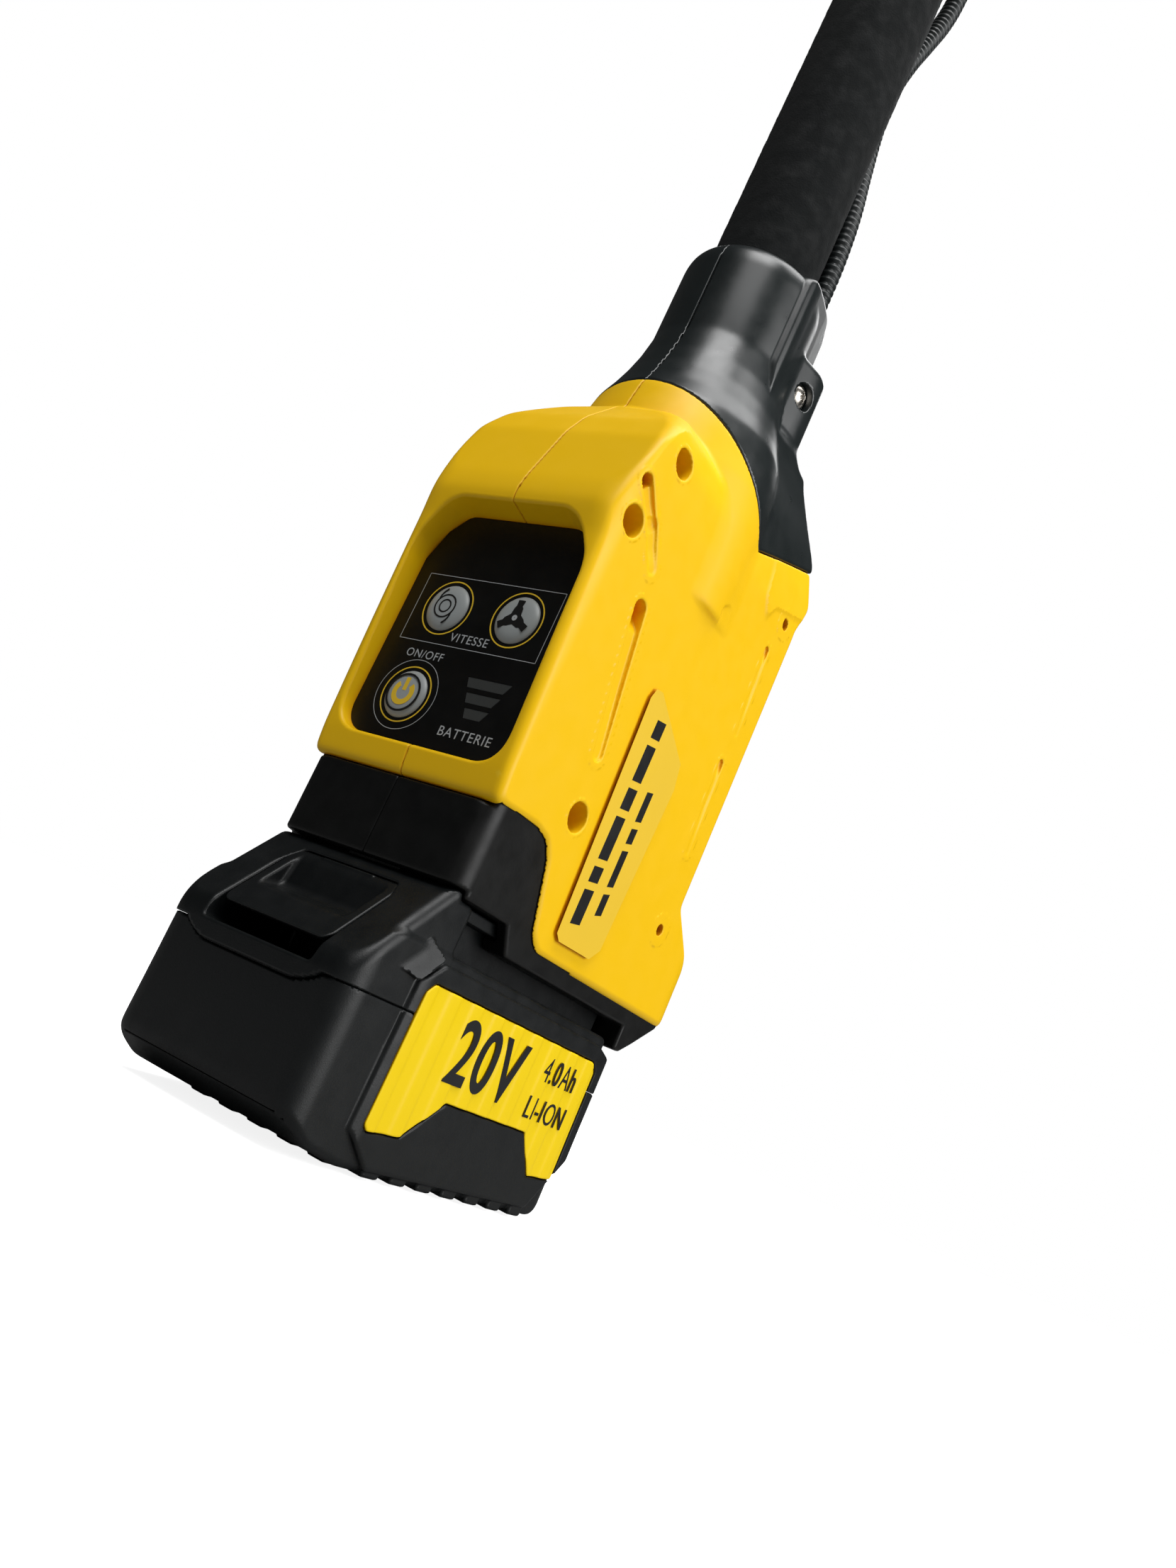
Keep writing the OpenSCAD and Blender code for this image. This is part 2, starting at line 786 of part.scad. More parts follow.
// Plan of the cable boss, as [y, x]
boss_plan = [[27, -6], [20.5, 17], [17, 27], [12, 31]];

module neck_outer() {
    // Past the housing's back, the cut runs on along the same line
    past_back = border_back + 0.3 * (border_back - border_low);
    difference() {
        union() {
            shoulder_solid(206, 320, 0);
            intersection() {
                along_x(-60, 60) polygon(neck_side);
                along_y(-10, 70) polygon(both_sides(neck_back_half));
                union() {
                    translate([0, 0, 200]) linear_extrude(130) polygon(both_sides(boss_plan));
                    box([-40, -10, 200], [40, 70, 268]);
                }
            }
        }
        along_x(-60, 60) polygon([[-70, 150], border_front, border_low, past_back, [past_back[0], 150]]);
    }
}

// Rim that plugs into the top of the housing
module neck_spigot() {
    intersection() {
        housing_cavity(0.15);
        along_x(-60, 60) polygon([
            [-30.8, 240], [-30.8, 248], border_low + [0, 0.5], [49, 236.5], [49, 229], [14, 215]
        ]);
    }
}

module neck_half(side) {
    half(side) difference() {
        union() {
            neck_outer();
            neck_spigot();
        }
        // Room for the coupling, then the tube, then the sleeve
        rotate_extrude() polygon([[0, 200], [30, 200], [30, 238], [24, 250], [15, grip_z], [0, grip_z]]);
        translate([0, 0, 230]) cylinder(r = tube_r + fit_gap, h = 120);
        translate([0, 0, sleeve_bottom - 1]) cylinder(r = sleeve_r + 0.3, h = 50);
        // Hollow behind the coupling
        along_x(-24, 24) polygon([[10, 214], [16, 262], [30, 262], [38, 252], [48, 240], [48, 228]]);
        translate([conduit_path[0][0], conduit_path[0][1], conduit_path[0][2] - 0.5]) cylinder(r = conduit_r + 0.1, h = 60);
        translate([cable_path[0][0], cable_path[0][1], 250]) cylinder(r = cable_r + 0.6, h = 60);
        rod_x(-30, 30, neck_screw_y, neck_screw_z, screw_shank_r);
        rod_x(neck_screw_x, 60, neck_screw_y, neck_screw_z, screw_recess_r);
    }
}

neck_screw_x = 17.5;
neck_screw_y = 17.5;
neck_screw_z = 286.5;

module neck_right() {
    color("darkslategray") neck_half(1);
}

module neck_left() {
    color("darkslategray") neck_half(-1);
}

module neck_screw() {
    color("silver") translate([neck_screw_x, neck_screw_y, neck_screw_z]) pan_screw(30);
}

module trigger_cable() {
    color("black") swept_rod(smooth_path(cable_path, 2), cable_r, path_sides);
}

module cable_conduit() {
    color("black") difference() {
        swept_rod(smooth_path(conduit_path, 3), conduit_r, path_sides);
        swept_rod(concat([conduit_path[0] - [0, 0, 1]], smooth_path(conduit_path, 3), [last_point() + [0, 0, 1]]),
            conduit_bore_r, path_sides);
    }
}

function last_point() = conduit_path[len(conduit_path) - 1];

module cable_plug() {
    color("dimgray") translate(last_point() + [0, 0, plug_gap]) difference() {
        union() {
            cylinder(r1 = conduit_r + 1, r2 = plug_r - 1.5, h = 8);
            translate([0, 0, 8 - eps]) cylinder(r = plug_r, h = plug_len - 8);
        }
        translate([0, 0, plug_len - 9]) cylinder(r = plug_r - 1.6, h = 10);
    }
}

// ---- Battery ----

module case_plan(z0, z1, inset) {
    rounded_block([-case_half_w + inset, case_front_y + inset, z0], [case_half_w - inset, case_back_y - inset, z1],
        case_corner_r - inset);
}

module side_pads(z0, z1) {
    intersection() {
        for (side = [-1, 1]) along_x(side > 0 ? case_half_w - 1 : -case_half_w - pad_rise,
            side > 0 ? case_half_w + pad_rise : 1 - case_half_w) polygon(pad_side);
        box([-50, -80, z0], [50, 60, z1]);
    }
}

module inlay_pockets() {
    for (side = [-1, 1]) along_x(side > 0 ? case_half_w + pad_rise - inlay_depth - 0.1 : -50,
        side > 0 ? 50 : -case_half_w - pad_rise + inlay_depth + 0.1) polygon(inlay_side);
}

module battery_lower_case() {
    color("black") difference() {
        union() {
            intersection() {
                along_x(-60, 60) polygon(lower_case_side);
                case_plan(0, case_split_z, 0);
            }
            side_pads(0, case_split_z);
            // Ribs under the case
            for (i = [-2:2]) box([i * rib_pitch - rib_w / 2, -48, 0], [i * rib_pitch + rib_w / 2, 40, 4]);
            // Teeth along both lower edges
            for (i = [-3:3], side = [-1, 1]) {
                x = side * 33;
                box([x - 3.4, i * rib_pitch - 3.6 - rib_w / 2, 0.6], [x + 3.4, i * rib_pitch - 3.6 + rib_w / 2, 6]);
            }
        }
        difference() {
            intersection() {
                case_plan(case_wall, case_split_z + 1, case_wall);
                along_x(-60, 60) polygon([[-75.4, 60], [-75.4, 11.5], [-64, 5.4], [-51, 2.8], [60, 2.8], [60, 60]]);
            }
            for (p = case_screw_places) translate([p[0], p[1], 0]) cylinder(r = case_post_r, h = case_split_z);
        }
        // Dip in the split, with its gap
        translate([0, 0, -fit_gap]) along_y(case_front_y - 1, case_front_y + case_wall + 1)
            polygon(both_sides(seam_dip_half));
        inlay_pockets();
        for (p = case_screw_places) translate([p[0], p[1], -1]) {
            cylinder(r = case_screw_r + 0.1, h = 60);
            cylinder(r = 3, h = case_screw_head_z + 1);
        }
    }
}

module nose_block() {
    intersection() {
        along_x(-60, 60) polygon(nose_side);
        rounded_block([-34.6, case_front_y, 40], [34.6, 60, 80], 9);
    }
}

// Everything in front of the nose's slope
module past_slope() {
    low_z = nose_foot_z - 2;
    high_z = nose_top_z + 2;
    along_x(-60, 60) polygon([
        [nose_y(low_z), low_z], [nose_y(high_z), high_z], [case_front_y - 20, high_z], [case_front_y - 20, low_z]
    ]);
}

module battery_upper_case() {
    color("black") difference() {
        union() {
            case_plan(case_split_z + fit_gap, shoulder_z, 0);
            nose_block();
            along_y(case_front_y, case_front_y + case_wall) polygon(both_sides(seam_dip_half));
            side_pads(case_split_z + fit_gap, shoulder_z);
            box([-tongue_half_w, -46, shoulder_z - 1], [tongue_half_w, case_back_y, tongue_z]);
            box([-flange_half_w, -43.5, flange_z0], [flange_half_w, case_back_y, tongue_z]);
        }
        past_slope();
        // Room for the cells, the board and the contacts
        difference() {
            intersection() {
                case_plan(30, shoulder_z - case_wall, case_wall);
                box([-40, -42, 30], [40, 60, shoulder_z - case_wall]);
            }
            for (p = case_screw_places) translate([p[0], p[1], 30]) cylinder(r = case_post_r, h = 40);
        }
        box([-tongue_half_w + 2, -42, 50], [tongue_half_w - 2, case_back_y - 2, tongue_z - 2]);
        for (x = contact_xs) box([x - 1.1, 20, 62], [x + 1.1, 60, 80]);
        // Room for the latch, its hook and its window
        box([-window_half_w, -73, window_z0], [window_half_w, -44.2, window_z1]);
        along_x(-window_half_w, window_half_w) polygon([
            [-90, window_z0], [-90, window_z1], [nose_y(window_z1) + 1, window_z1], [-60, window_z0]
        ]);
        box([-hook_half_w - 0.4, hook_y0 - 0.4, 60], [hook_half_w + 0.4, hook_y1 + 0.4, 80]);
        inlay_pockets();
        for (p = case_screw_places) translate([p[0], p[1], 30]) cylinder(r = case_screw_r, h = case_screw_top + 1 - 30);
    }
}

module battery_inlay(side) {
    x1 = case_half_w + pad_rise + 0.2;
    x0 = case_half_w + pad_rise - inlay_depth;
    mirror([side > 0 ? 0 : 1, 0, 0]) union() {
        along_x(x0, x1 - 0.5) polygon(inlay_side);
        intersection() {
            along_x(x0, x1) polygon(inlay_side);
            for (i = [-4:4]) box([x0, i * 11 - 8.5, 0], [x1, i * 11, 60]);
        }
    }
}

module battery_inlay_right() {
    color("gold") battery_inlay(1);
}

module battery_inlay_left() {
    color("gold") battery_inlay(-1);
}

module battery_screws() {
    color("silver") for (p = case_screw_places) translate([p[0], p[1], case_screw_head_z - 2]) difference() {
        union() {
            cylinder(r = case_screw_r - fit_gap, h = case_screw_top + 2 - case_screw_head_z);
            cylinder(r = 2.8, h = 2);
        }
        translate([0, 0, -1]) cylinder(r = 1.2, h = 2, $fn = 6);
    }
}

module battery_cells() {
    color("teal") for (i = [0:cell_columns - 1], z = cell_rows_z)
        rod_x(-cell_len / 2 + 0.3, cell_len / 2 - 0.3, cell_first_y + i * cell_pitch, z, cell_r);
}

module cell_holders() {
    color("ivory") for (x = [-22, 20]) difference() {
        box([x, cell_first_y - 9, 3.2], [x + 2, cell_first_y + 4 * cell_pitch + 9, 42]);
        for (i = [0:cell_columns - 1], z = cell_rows_z)
            rod_x(x - 1, x + 3, cell_first_y + i * cell_pitch, z, cell_r + fit_gap);
    }
}

module cell_links() {
    color("silver") for (i = [0:cell_columns - 1], x = [-32.9, 32.25])
        box([x, cell_first_y + i * cell_pitch - 3.5, 8], [x + 0.6, cell_first_y + i * cell_pitch + 3.5, 35]);
}

module battery_board() {
    color("green") box([-23.8, -40, 44], [23.8, 42, 44 + board_t]);
}

module battery_contacts() {
    color("gold") for (x = contact_xs) {
        box([x - 1.7, 22, 44 + board_t + eps], [x - 1.15, 40, 67]);
        box([x + 1.15, 22, 44 + board_t + eps], [x + 1.7, 40, 67]);
    }
}

module battery_latch() {
    color("dimgray") difference() {
        union() {
            along_x(-latch_half_w, latch_half_w) polygon([
                [nose_y(latch_z0) + 0.3, latch_z0], [nose_y(latch_z1) + 0.3, latch_z1], [-53, latch_z1],
                [-53, 65.5], [-57, 65.5], [-69, latch_z0]
            ]);
            along_x(-hook_half_w, hook_half_w) polygon([
                [-53.5, 65.5], [-53.5, latch_z1], [hook_y0, latch_z1], [hook_y0, hook_top], [hook_y0 + 1.2, hook_top],
                [hook_y1, 76.5], [hook_y1, spring_z1], [-52, spring_z1]
            ]);
        }
        // Finger hollow
        rod_x(-14, 14, -68, 64, 6.5);
    }
}

// Coil spring, as a swept six-sided wire
module coil(r, wire_r, z0, z1, turns) {
    steps = turns * 14;
    sides = 6;
    rise = (z1 - z0 - 2 * wire_r) / steps;
    points = [for (i = [0:steps], j = [0:sides - 1])
        let (a = i * 360 / 14, b = j * 360 / sides, q = r + wire_r * cos(b))
        [q * cos(a), q * sin(a), z0 + wire_r + i * rise + wire_r * sin(b)]];
    polyhedron(points, tube_faces(steps, sides));
}

module latch_spring() {
    color("silver") translate([0, spring_y, 0]) coil(spring_r, spring_wire_r, spring_z0, spring_z1, spring_turns);
}

shell_right();
shell_left();
shell_screws();
seat_right();
seat_left();
terminal_block();
terminal_blades();
power_leads();
panel_plate();
gauge_lens();
panel_board();
panel_switches();
gauge_leds();
power_button();
line_speed_button();
blade_speed_button();
controller_board();
controller_heatsink();
controller_mosfets();
controller_capacitors();
motor_rear_bracket();
motor_front_bracket();
motor_stator();
motor_coils();
motor_leads();
rotor_core();
rotor_magnets();
motor_shaft();
cooling_fan();
rear_bearing_outer();
rear_bearing_inner();
rear_bearing_balls();
front_bearing_outer();
front_bearing_inner();
front_bearing_balls();
shaft_coupling();
drive_shaft();
shaft_bushes();
drive_tube();
foam_sleeve();
neck_right();
neck_left();
neck_screw();
trigger_cable();
cable_conduit();
cable_plug();
battery_lower_case();
battery_upper_case();
battery_inlay_right();
battery_inlay_left();
battery_screws();
battery_cells();
cell_holders();
cell_links();
battery_board();
battery_contacts();
battery_latch();
latch_spring();
side_label();
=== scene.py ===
"""Looks of a battery power head: moulded housing, neck, battery pack, foam grip, conduit and panel.

The visible mouldings are distance fields turned into closed meshes, so each edge is a true fillet.
Lengths are in millimetres until a mesh is made. Places come from the CAD nodes' boxes.
"""

import itertools
import json
import math

import bmesh
import bpy
import numpy as np
from mathutils import Matrix, Vector
from numpy import maximum, minimum


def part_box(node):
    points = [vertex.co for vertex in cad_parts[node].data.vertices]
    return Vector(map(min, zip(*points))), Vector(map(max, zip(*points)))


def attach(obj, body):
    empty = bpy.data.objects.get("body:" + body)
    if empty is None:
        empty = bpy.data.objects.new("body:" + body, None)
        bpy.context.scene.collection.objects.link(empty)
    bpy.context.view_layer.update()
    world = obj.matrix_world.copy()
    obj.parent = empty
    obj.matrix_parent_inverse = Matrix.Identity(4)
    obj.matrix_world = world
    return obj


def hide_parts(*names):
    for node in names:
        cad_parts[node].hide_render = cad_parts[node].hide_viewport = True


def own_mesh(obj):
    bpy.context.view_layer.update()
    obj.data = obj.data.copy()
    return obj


MM = 0.001
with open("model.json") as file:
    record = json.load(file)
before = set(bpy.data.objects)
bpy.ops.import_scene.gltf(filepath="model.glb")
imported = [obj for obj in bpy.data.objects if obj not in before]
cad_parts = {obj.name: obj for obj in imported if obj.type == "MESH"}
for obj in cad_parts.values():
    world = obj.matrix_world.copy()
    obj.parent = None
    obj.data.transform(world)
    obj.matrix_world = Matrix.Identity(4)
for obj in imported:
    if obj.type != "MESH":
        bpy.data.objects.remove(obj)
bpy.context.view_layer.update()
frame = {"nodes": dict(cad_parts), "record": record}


def corners(node):
    """Lowest and highest corner of a CAD node, in millimetres."""
    low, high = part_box(node)
    return np.array(low) / MM, np.array(high) / MM


# ---- Distance fields: negative inside, in millimetres ----

def meet(a, b, r):
    """Common part of solids a and b, with a fillet of radius r on the edges between them."""
    u = maximum(a + r, 0)
    v = maximum(b + r, 0)
    return minimum(-r, maximum(a, b)) + np.hypot(u, v)


def join(a, b, r):
    """Solids a and b together, with a fillet of radius r in the corner between them."""
    return -meet(-a, -b, r)


def cut(a, b, r):
    """Solid a less solid b, with a fillet of radius r on the rim."""
    return meet(a, -b, r)


def smooth_step(t):
    t = np.clip(t, 0, 1)
    return t * t * (3 - 2 * t)


def slab(u, low, high):
    return maximum(low - u, u - high)


def block(p, low, high, r=0.6):
    """Box with rounded edges."""
    q = [np.abs(p[i] - (low[i] + high[i]) / 2) - (high[i] - low[i]) / 2 + r for i in range(3)]
    outside = np.sqrt(sum(maximum(c, 0) ** 2 for c in q))
    return outside + minimum(maximum(maximum(q[0], q[1]), q[2]), 0) - r


def rounded_rect(u, v, low, high, r):
    """Rectangle with rounded corners, as a plan."""
    a = np.abs(u - (low[0] + high[0]) / 2) - (high[0] - low[0]) / 2 + r
    b = np.abs(v - (low[1] + high[1]) / 2) - (high[1] - low[1]) / 2 + r
    return np.hypot(maximum(a, 0), maximum(b, 0)) + minimum(maximum(a, b), 0) - r


def near_line(u, v, a, b):
    """Distance to the line from a to b, and how far along it the nearest point is."""
    eu, ev = b[0] - a[0], b[1] - a[1]
    t = np.clip(((u - a[0]) * eu + (v - a[1]) * ev) / (eu * eu + ev * ev), 0, 1)
    return np.hypot(u - a[0] - t * eu, v - a[1] - t * ev), t


class Outline:
    """Signed distance to a closed outline, with its corners softened."""
    CELL = 0.35
    MARGIN = 14

    def __init__(self, points, soften=0.0):
        points = np.array(points, float)
        self.low = points.min(0) - self.MARGIN
        count = np.ceil((points.max(0) + self.MARGIN - self.low) / self.CELL).astype(int) + 1
        u = self.low[0] + self.CELL * np.arange(count[0])[:, None]
        v = self.low[1] + self.CELL * np.arange(count[1])[None, :]
        nearest = np.full(count, 1e9)
        inside = np.zeros(count, bool)
        for a, b in zip(points, np.roll(points, -1, 0)):
            nearest = minimum(nearest, near_line(u, v, a, b)[0])
            rise = b[1] - a[1] if b[1] != a[1] else 1e-9
            inside ^= ((a[1] > v) != (b[1] > v)) & (u < a[0] + (b[0] - a[0]) * (v - a[1]) / rise)
        self.grid = np.where(inside, -nearest, nearest)
        width = int(round(soften / self.CELL))
        for axis in (0, 1, 0, 1) if width else ():
            self.grid = self.blurred(self.grid, axis, width)

    @staticmethod
    def blurred(grid, axis, width):
        pad = [(0, 0), (0, 0)]
        pad[axis] = (width + 1, width)
        total = np.cumsum(np.pad(grid, pad, mode="edge"), axis)
        size = grid.shape[axis]
        upper = np.take(total, np.arange(size) + 2 * width + 1, axis)
        lower = np.take(total, np.arange(size), axis)
        return (upper - lower) / (2 * width + 1)

    def __call__(self, u, v):
        a = (u - self.low[0]) / self.CELL
        b = (v - self.low[1]) / self.CELL
        ca = np.clip(a, 0, self.grid.shape[0] - 1.001)
        cb = np.clip(b, 0, self.grid.shape[1] - 1.001)
        i, j = ca.astype(int), cb.astype(int)
        s, t = ca - i, cb - j
        g = self.grid
        below = g[i, j] * (1 - s) + g[i + 1, j] * s
        above = g[i, j + 1] * (1 - s) + g[i + 1, j + 1] * s
        return below * (1 - t) + above * t + np.hypot(a - ca, b - cb) * self.CELL


def mirrored(half):
    """Outline completed with its mirror image about u = 0."""
    return list(half) + [(-u, v) for u, v in reversed(half) if u != 0]


# ---- Fields to meshes ----

BLOCK = 4
CUBE = list(itertools.product((0, 1), repeat=3))
CUBE_EDGES = [(a, b) for a, b in itertools.combinations(range(8), 2)
              if sum(abs(i - j) for i, j in zip(CUBE[a], CUBE[b])) == 1]


def sample(field, low, step, blocks):
    """The field on a fine grid, worked out in full only in the blocks near the surface."""
    count = blocks * BLOCK
    centres = [low[i] + step * (np.arange(blocks[i]) * BLOCK + (BLOCK - 1) / 2) for i in range(3)]
    mesh = np.meshgrid(*centres, indexing="ij")
    coarse = field([m.ravel() for m in mesh]).reshape(blocks)
    values = coarse.astype(np.float32)
    for axis in range(3):
        values = np.repeat(values, BLOCK, axis)
    busy = np.argwhere(np.abs(coarse) < BLOCK * step * 1.5)
    offsets = np.array(list(itertools.product(range(BLOCK), repeat=3)))
    index = (busy[:, None, :] * BLOCK + offsets[None, :, :]).reshape(-1, 3)
    points = [low[i] + step * index[:, i] for i in range(3)]
    values[index[:, 0], index[:, 1], index[:, 2]] = field(points)
    return values, count


def net_vertices(values, low, step, cells):
    """One vertex in each cell that the surface crosses."""
    corner = np.stack([values[tuple((cells + c).T)] for c in CUBE], 1)
    place = np.zeros((len(cells), 3))
    hits = np.zeros(len(cells))
    for a, b in CUBE_EDGES:
        crossed = (corner[:, a] < 0) != (corner[:, b] < 0)
        gap = np.where(crossed, corner[:, a] - corner[:, b], 1)
        t = np.where(crossed, corner[:, a] / gap, 0)
        start, end = np.array(CUBE[a]), np.array(CUBE[b])
        place += crossed[:, None] * (start + t[:, None] * (end - start))
        hits += crossed
    return low + step * (cells + place / hits[:, None])


def net_faces(inside, number):
    """One four-sided face round each grid edge that the surface crosses."""
    faces = []
    for axis in range(3):
        u, v = (axis + 1) % 3, (axis + 2) % 3
        first = np.take(inside, np.arange(inside.shape[axis] - 1), axis)
        second = np.take(inside, np.arange(1, inside.shape[axis]), axis)
        at = np.argwhere(first != second)
        at = at[(at[:, u] > 0) & (at[:, v] > 0)]
        starts_inside = first[at[:, 0], at[:, 1], at[:, 2]]
        ring = []
        for du, dv in ((1, 1), (0, 1), (0, 0), (1, 0)):
            cell = at.copy()
            cell[:, u] -= du
            cell[:, v] -= dv
            ring.append(number[cell[:, 0], cell[:, 1], cell[:, 2]])
        ring = np.stack(ring, 1)
        ring[~starts_inside] = ring[~starts_inside][:, ::-1]
        faces.append(ring)
    return np.concatenate(faces)


def slopes(field, points, reach=0.06):
    """Direction in which the field grows fastest."""
    out = np.empty_like(points)
    for axis in range(3):
        ahead, behind = points.copy(), points.copy()
        ahead[:, axis] += reach
        behind[:, axis] -= reach
        out[:, axis] = (field(list(ahead.T)) - field(list(behind.T))) / (2 * reach)
    return out


def solid(name, field, low, high, step, flip=False):
    """Closed smooth mesh of a field's inside. flip mirrors it to the -X side."""
    low = np.array(low, float) - 2.3 * step
    blocks = np.ceil((np.array(high) + 3 * step - low) / (BLOCK * step)).astype(int)
    values, count = sample(field, low, step, blocks)
    inside = values < 0
    held = np.zeros(count - 1, np.int8)
    for c in CUBE:
        held += inside[tuple(slice(c[i], count[i] - 1 + c[i]) for i in range(3))]
    crossed = (held > 0) & (held < 8)
    cells = np.argwhere(crossed)
    number = np.full(crossed.shape, -1, np.int64)
    number[crossed] = np.arange(len(cells))
    points = net_vertices(values, low, step, cells)
    faces = net_faces(inside, number)
    for _ in range(2):
        slope = slopes(field, points)
        size = maximum((slope ** 2).sum(1), 0.25)
        move = -(field(list(points.T)) / size)[:, None] * slope
        points += np.clip(move, -0.4 * step, 0.4 * step)
    normals = slopes(field, points)
    normals /= maximum(np.linalg.norm(normals, axis=1), 1e-6)[:, None]
    if flip:
        points[:, 0] *= -1
        normals[:, 0] *= -1
        faces = faces[:, ::-1]
    return mesh_object(name, points * MM, faces, normals)


def mesh_object(name, points, faces, normals=None, smooth=True):
    mesh = bpy.data.meshes.new(name)
    mesh.from_pydata([tuple(p) for p in points], [], [tuple(int(i) for i in f) for f in faces])
    mesh.update()
    mesh.polygons.foreach_set("use_smooth", [smooth] * len(mesh.polygons))
    if normals is not None:
        mesh.normals_split_custom_set_from_vertices([tuple(n) for n in normals])
    return placed(name, mesh)


def placed(name, data):
    """Object that shows the given mesh, light, curve or camera in the scene."""
    piece = bpy.data.objects.new(name, data)
    bpy.context.scene.collection.objects.link(piece)
    return piece


def outward(piece, merge=False):
    """Turns a piece's faces outward. merge first joins the points that coincide."""
    mesh = bmesh.new()
    mesh.from_mesh(piece.data)
    if merge:
        bmesh.ops.remove_doubles(mesh, verts=mesh.verts, dist=1e-7)
    bmesh.ops.recalc_face_normals(mesh, faces=mesh.faces)
    mesh.to_mesh(piece.data)
    mesh.free()
    return piece


def turned(name, section, centre, turns=72, upright=True, closed=True, smooth=True):
    """Surface turned round a line along Z, or Y if not upright, from (radius, height) points."""
    points, faces = [], []
    count = len(section)
    for i in range(turns):
        a = 2 * math.pi * i / turns
        for r, h in section:
            u, v = centre[0] + r * math.cos(a), centre[1] + r * math.sin(a)
            points.append((u * MM, v * MM, h * MM) if upright else (u * MM, h * MM, v * MM))
        start, after = i * count, (i + 1) % turns * count
        for k in range(count if closed else count - 1):
            m = (k + 1) % count
            face = (start + k, after + k, after + m, start + m)
            faces.append(face if upright else face[::-1])
    return mesh_object(name, points, faces, smooth=smooth)


def prisms(name, outlines, heights, along_x=False):
    """Thin closed solids between two heights along Y, or along X, one from each outline."""
    points, faces = [], []
    for outline in outlines:
        start, count = len(points), len(outline)
        for h, (u, v) in itertools.product(heights, outline):
            points.append((h * MM, u * MM, v * MM) if along_x else (u * MM, h * MM, v * MM))
        far = start + count
        faces += [list(reversed(range(start, far))), list(range(far, far + count))]
        for i in range(count):
            j = (i + 1) % count
            faces.append([start + i, start + j, far + j, far + i])
    return outward(mesh_object(name, points, faces, smooth=False))


def unit(vectors):
    return vectors / np.linalg.norm(vectors, axis=1)[:, None]


def tube_points(path, radius, across, turns):
    """Rings of points round a path, each of which starts in its direction across."""
    third = np.cross(unit(np.gradient(path, axis=0)), across)[:, None, :]
    angles = (np.arange(turns) * 2 * math.pi / turns)[None, :, None]
    wheels = np.cos(angles) * across[:, None, :] + np.sin(angles) * third
    return (path[:, None, :] + np.reshape(radius, (-1, 1, 1)) * wheels).reshape(-1, 3)


def tube_faces(rings, turns, start=0):
    faces = []
    for a in range(start, start + (rings - 1) * turns, turns):
        for j in range(turns):
            k = (j + 1) % turns
            faces.append((a + j, a + k, a + turns + k, a + turns + j))
    return faces


# ---- Materials ----

def fill(tree, node, inputs):
    """Sets a node's inputs to numbers, to colours or to other nodes' outputs."""
    for name, value in inputs.items():
        if isinstance(value, bpy.types.NodeSocket):
            tree.links.new(value, node.inputs[name])
        else:
            node.inputs[name].default_value = value


def noise(tree, where, scale, detail=4.0):
    node = tree.nodes.new("ShaderNodeTexNoise")
    fill(tree, node, {"Vector": where, "Scale": scale, "Detail": detail})
    return node.outputs["Fac"]


def ramp(tree, value, start, end, low=0.0, high=1.0, curve="LINEAR"):
    """The range from start to end mapped to the range from low to high, and held outside it."""
    node = tree.nodes.new("ShaderNodeMapRange")
    node.interpolation_type = curve
    limits = {"From Min": start, "From Max": end, "To Min": low, "To Max": high}
    fill(tree, node, {"Value": value, **limits})
    return node.outputs["Result"]


def blended(tree, share, a, b):
    """Colour that goes from a to b as share goes from 0 to 1."""
    node = tree.nodes.new("ShaderNodeMix")
    node.data_type = "RGBA"
    a, b = ((*colour, 1) if isinstance(colour, tuple) else colour for colour in (a, b))
    fill(tree, node, {0: share, 6: a, 7: b})
    return node.outputs[2]


def switched(tree, test, when_false, when_true):
    """Number that depends on a light-path test."""
    node = tree.nodes.new("ShaderNodeMix")
    fill(tree, node, {0: test, 2: when_false, 3: when_true})
    return node.outputs[0]


def paint_recess_shade(tree, paint, deep, reach):
    """Painted shade: paint that passes through the given darker colours as a recess closes round
    it.
    """
    shade = tree.nodes.new("ShaderNodeAmbientOcclusion")
    shade.samples = 12
    fill(tree, shade, {"Distance": reach * MM})
    for colour, open_at, shut_at in deep:
        level = ramp(tree, shade.outputs["AO"], shut_at, open_at, curve="SMOOTHSTEP")
        paint = blended(tree, level, colour, paint)
    return paint


def finish_of(name, colour, rough, grain=2200.0, depth=0.04, metal=0.0, coat=0.0, deep=None,
              deep_reach=4.0, worn=None, variation=0.10, sheen=0.5, mottle=45.0):
    """Procedural surface: mottled colour, uneven roughness, grain, painted shade in recesses, worn
    edges.

    grain and mottle are noise scales per metre, and depth is the grain's height in millimetres.
    The painted shade holds darker recess colours with the openness at which each starts and is
    complete.
    """
    material = bpy.data.materials.new(name)
    material.use_nodes = True
    tree = material.node_tree
    shader = tree.nodes["Principled BSDF"]
    where = tree.nodes.new("ShaderNodeTexCoord").outputs["Object"]
    darker = tuple(c * (1 - variation) for c in colour)
    paint = blended(tree, noise(tree, where, mottle), darker, colour)
    # painted shade: the colour darkens towards the given colours where a recess closes round the
    # surface
    if deep:
        paint = paint_recess_shade(tree, paint, deep, deep_reach)
    if worn:
        edge = tree.nodes.new("ShaderNodeNewGeometry").outputs["Pointiness"]
        paint = blended(tree, ramp(tree, edge, 0.52, 0.62, high=0.5), paint, worn)
    bump = tree.nodes.new("ShaderNodeBump")
    height = noise(tree, where, grain, 2.0)
    fill(tree, bump, {"Strength": 0.6, "Distance": depth * MM, "Height": height})
    patches = ramp(tree, noise(tree, where, 160), 0.3, 0.7, rough * 0.88, rough * 1.12)
    fill(tree, shader, {
        "Base Color": paint, "Roughness": patches, "Normal": bump.outputs["Normal"],
        "Metallic": metal, "Specular IOR Level": sheen, "Coat Weight": coat,
        "Coat Roughness": 0.25})
    return material


def look(*base, **more):
    return base, more


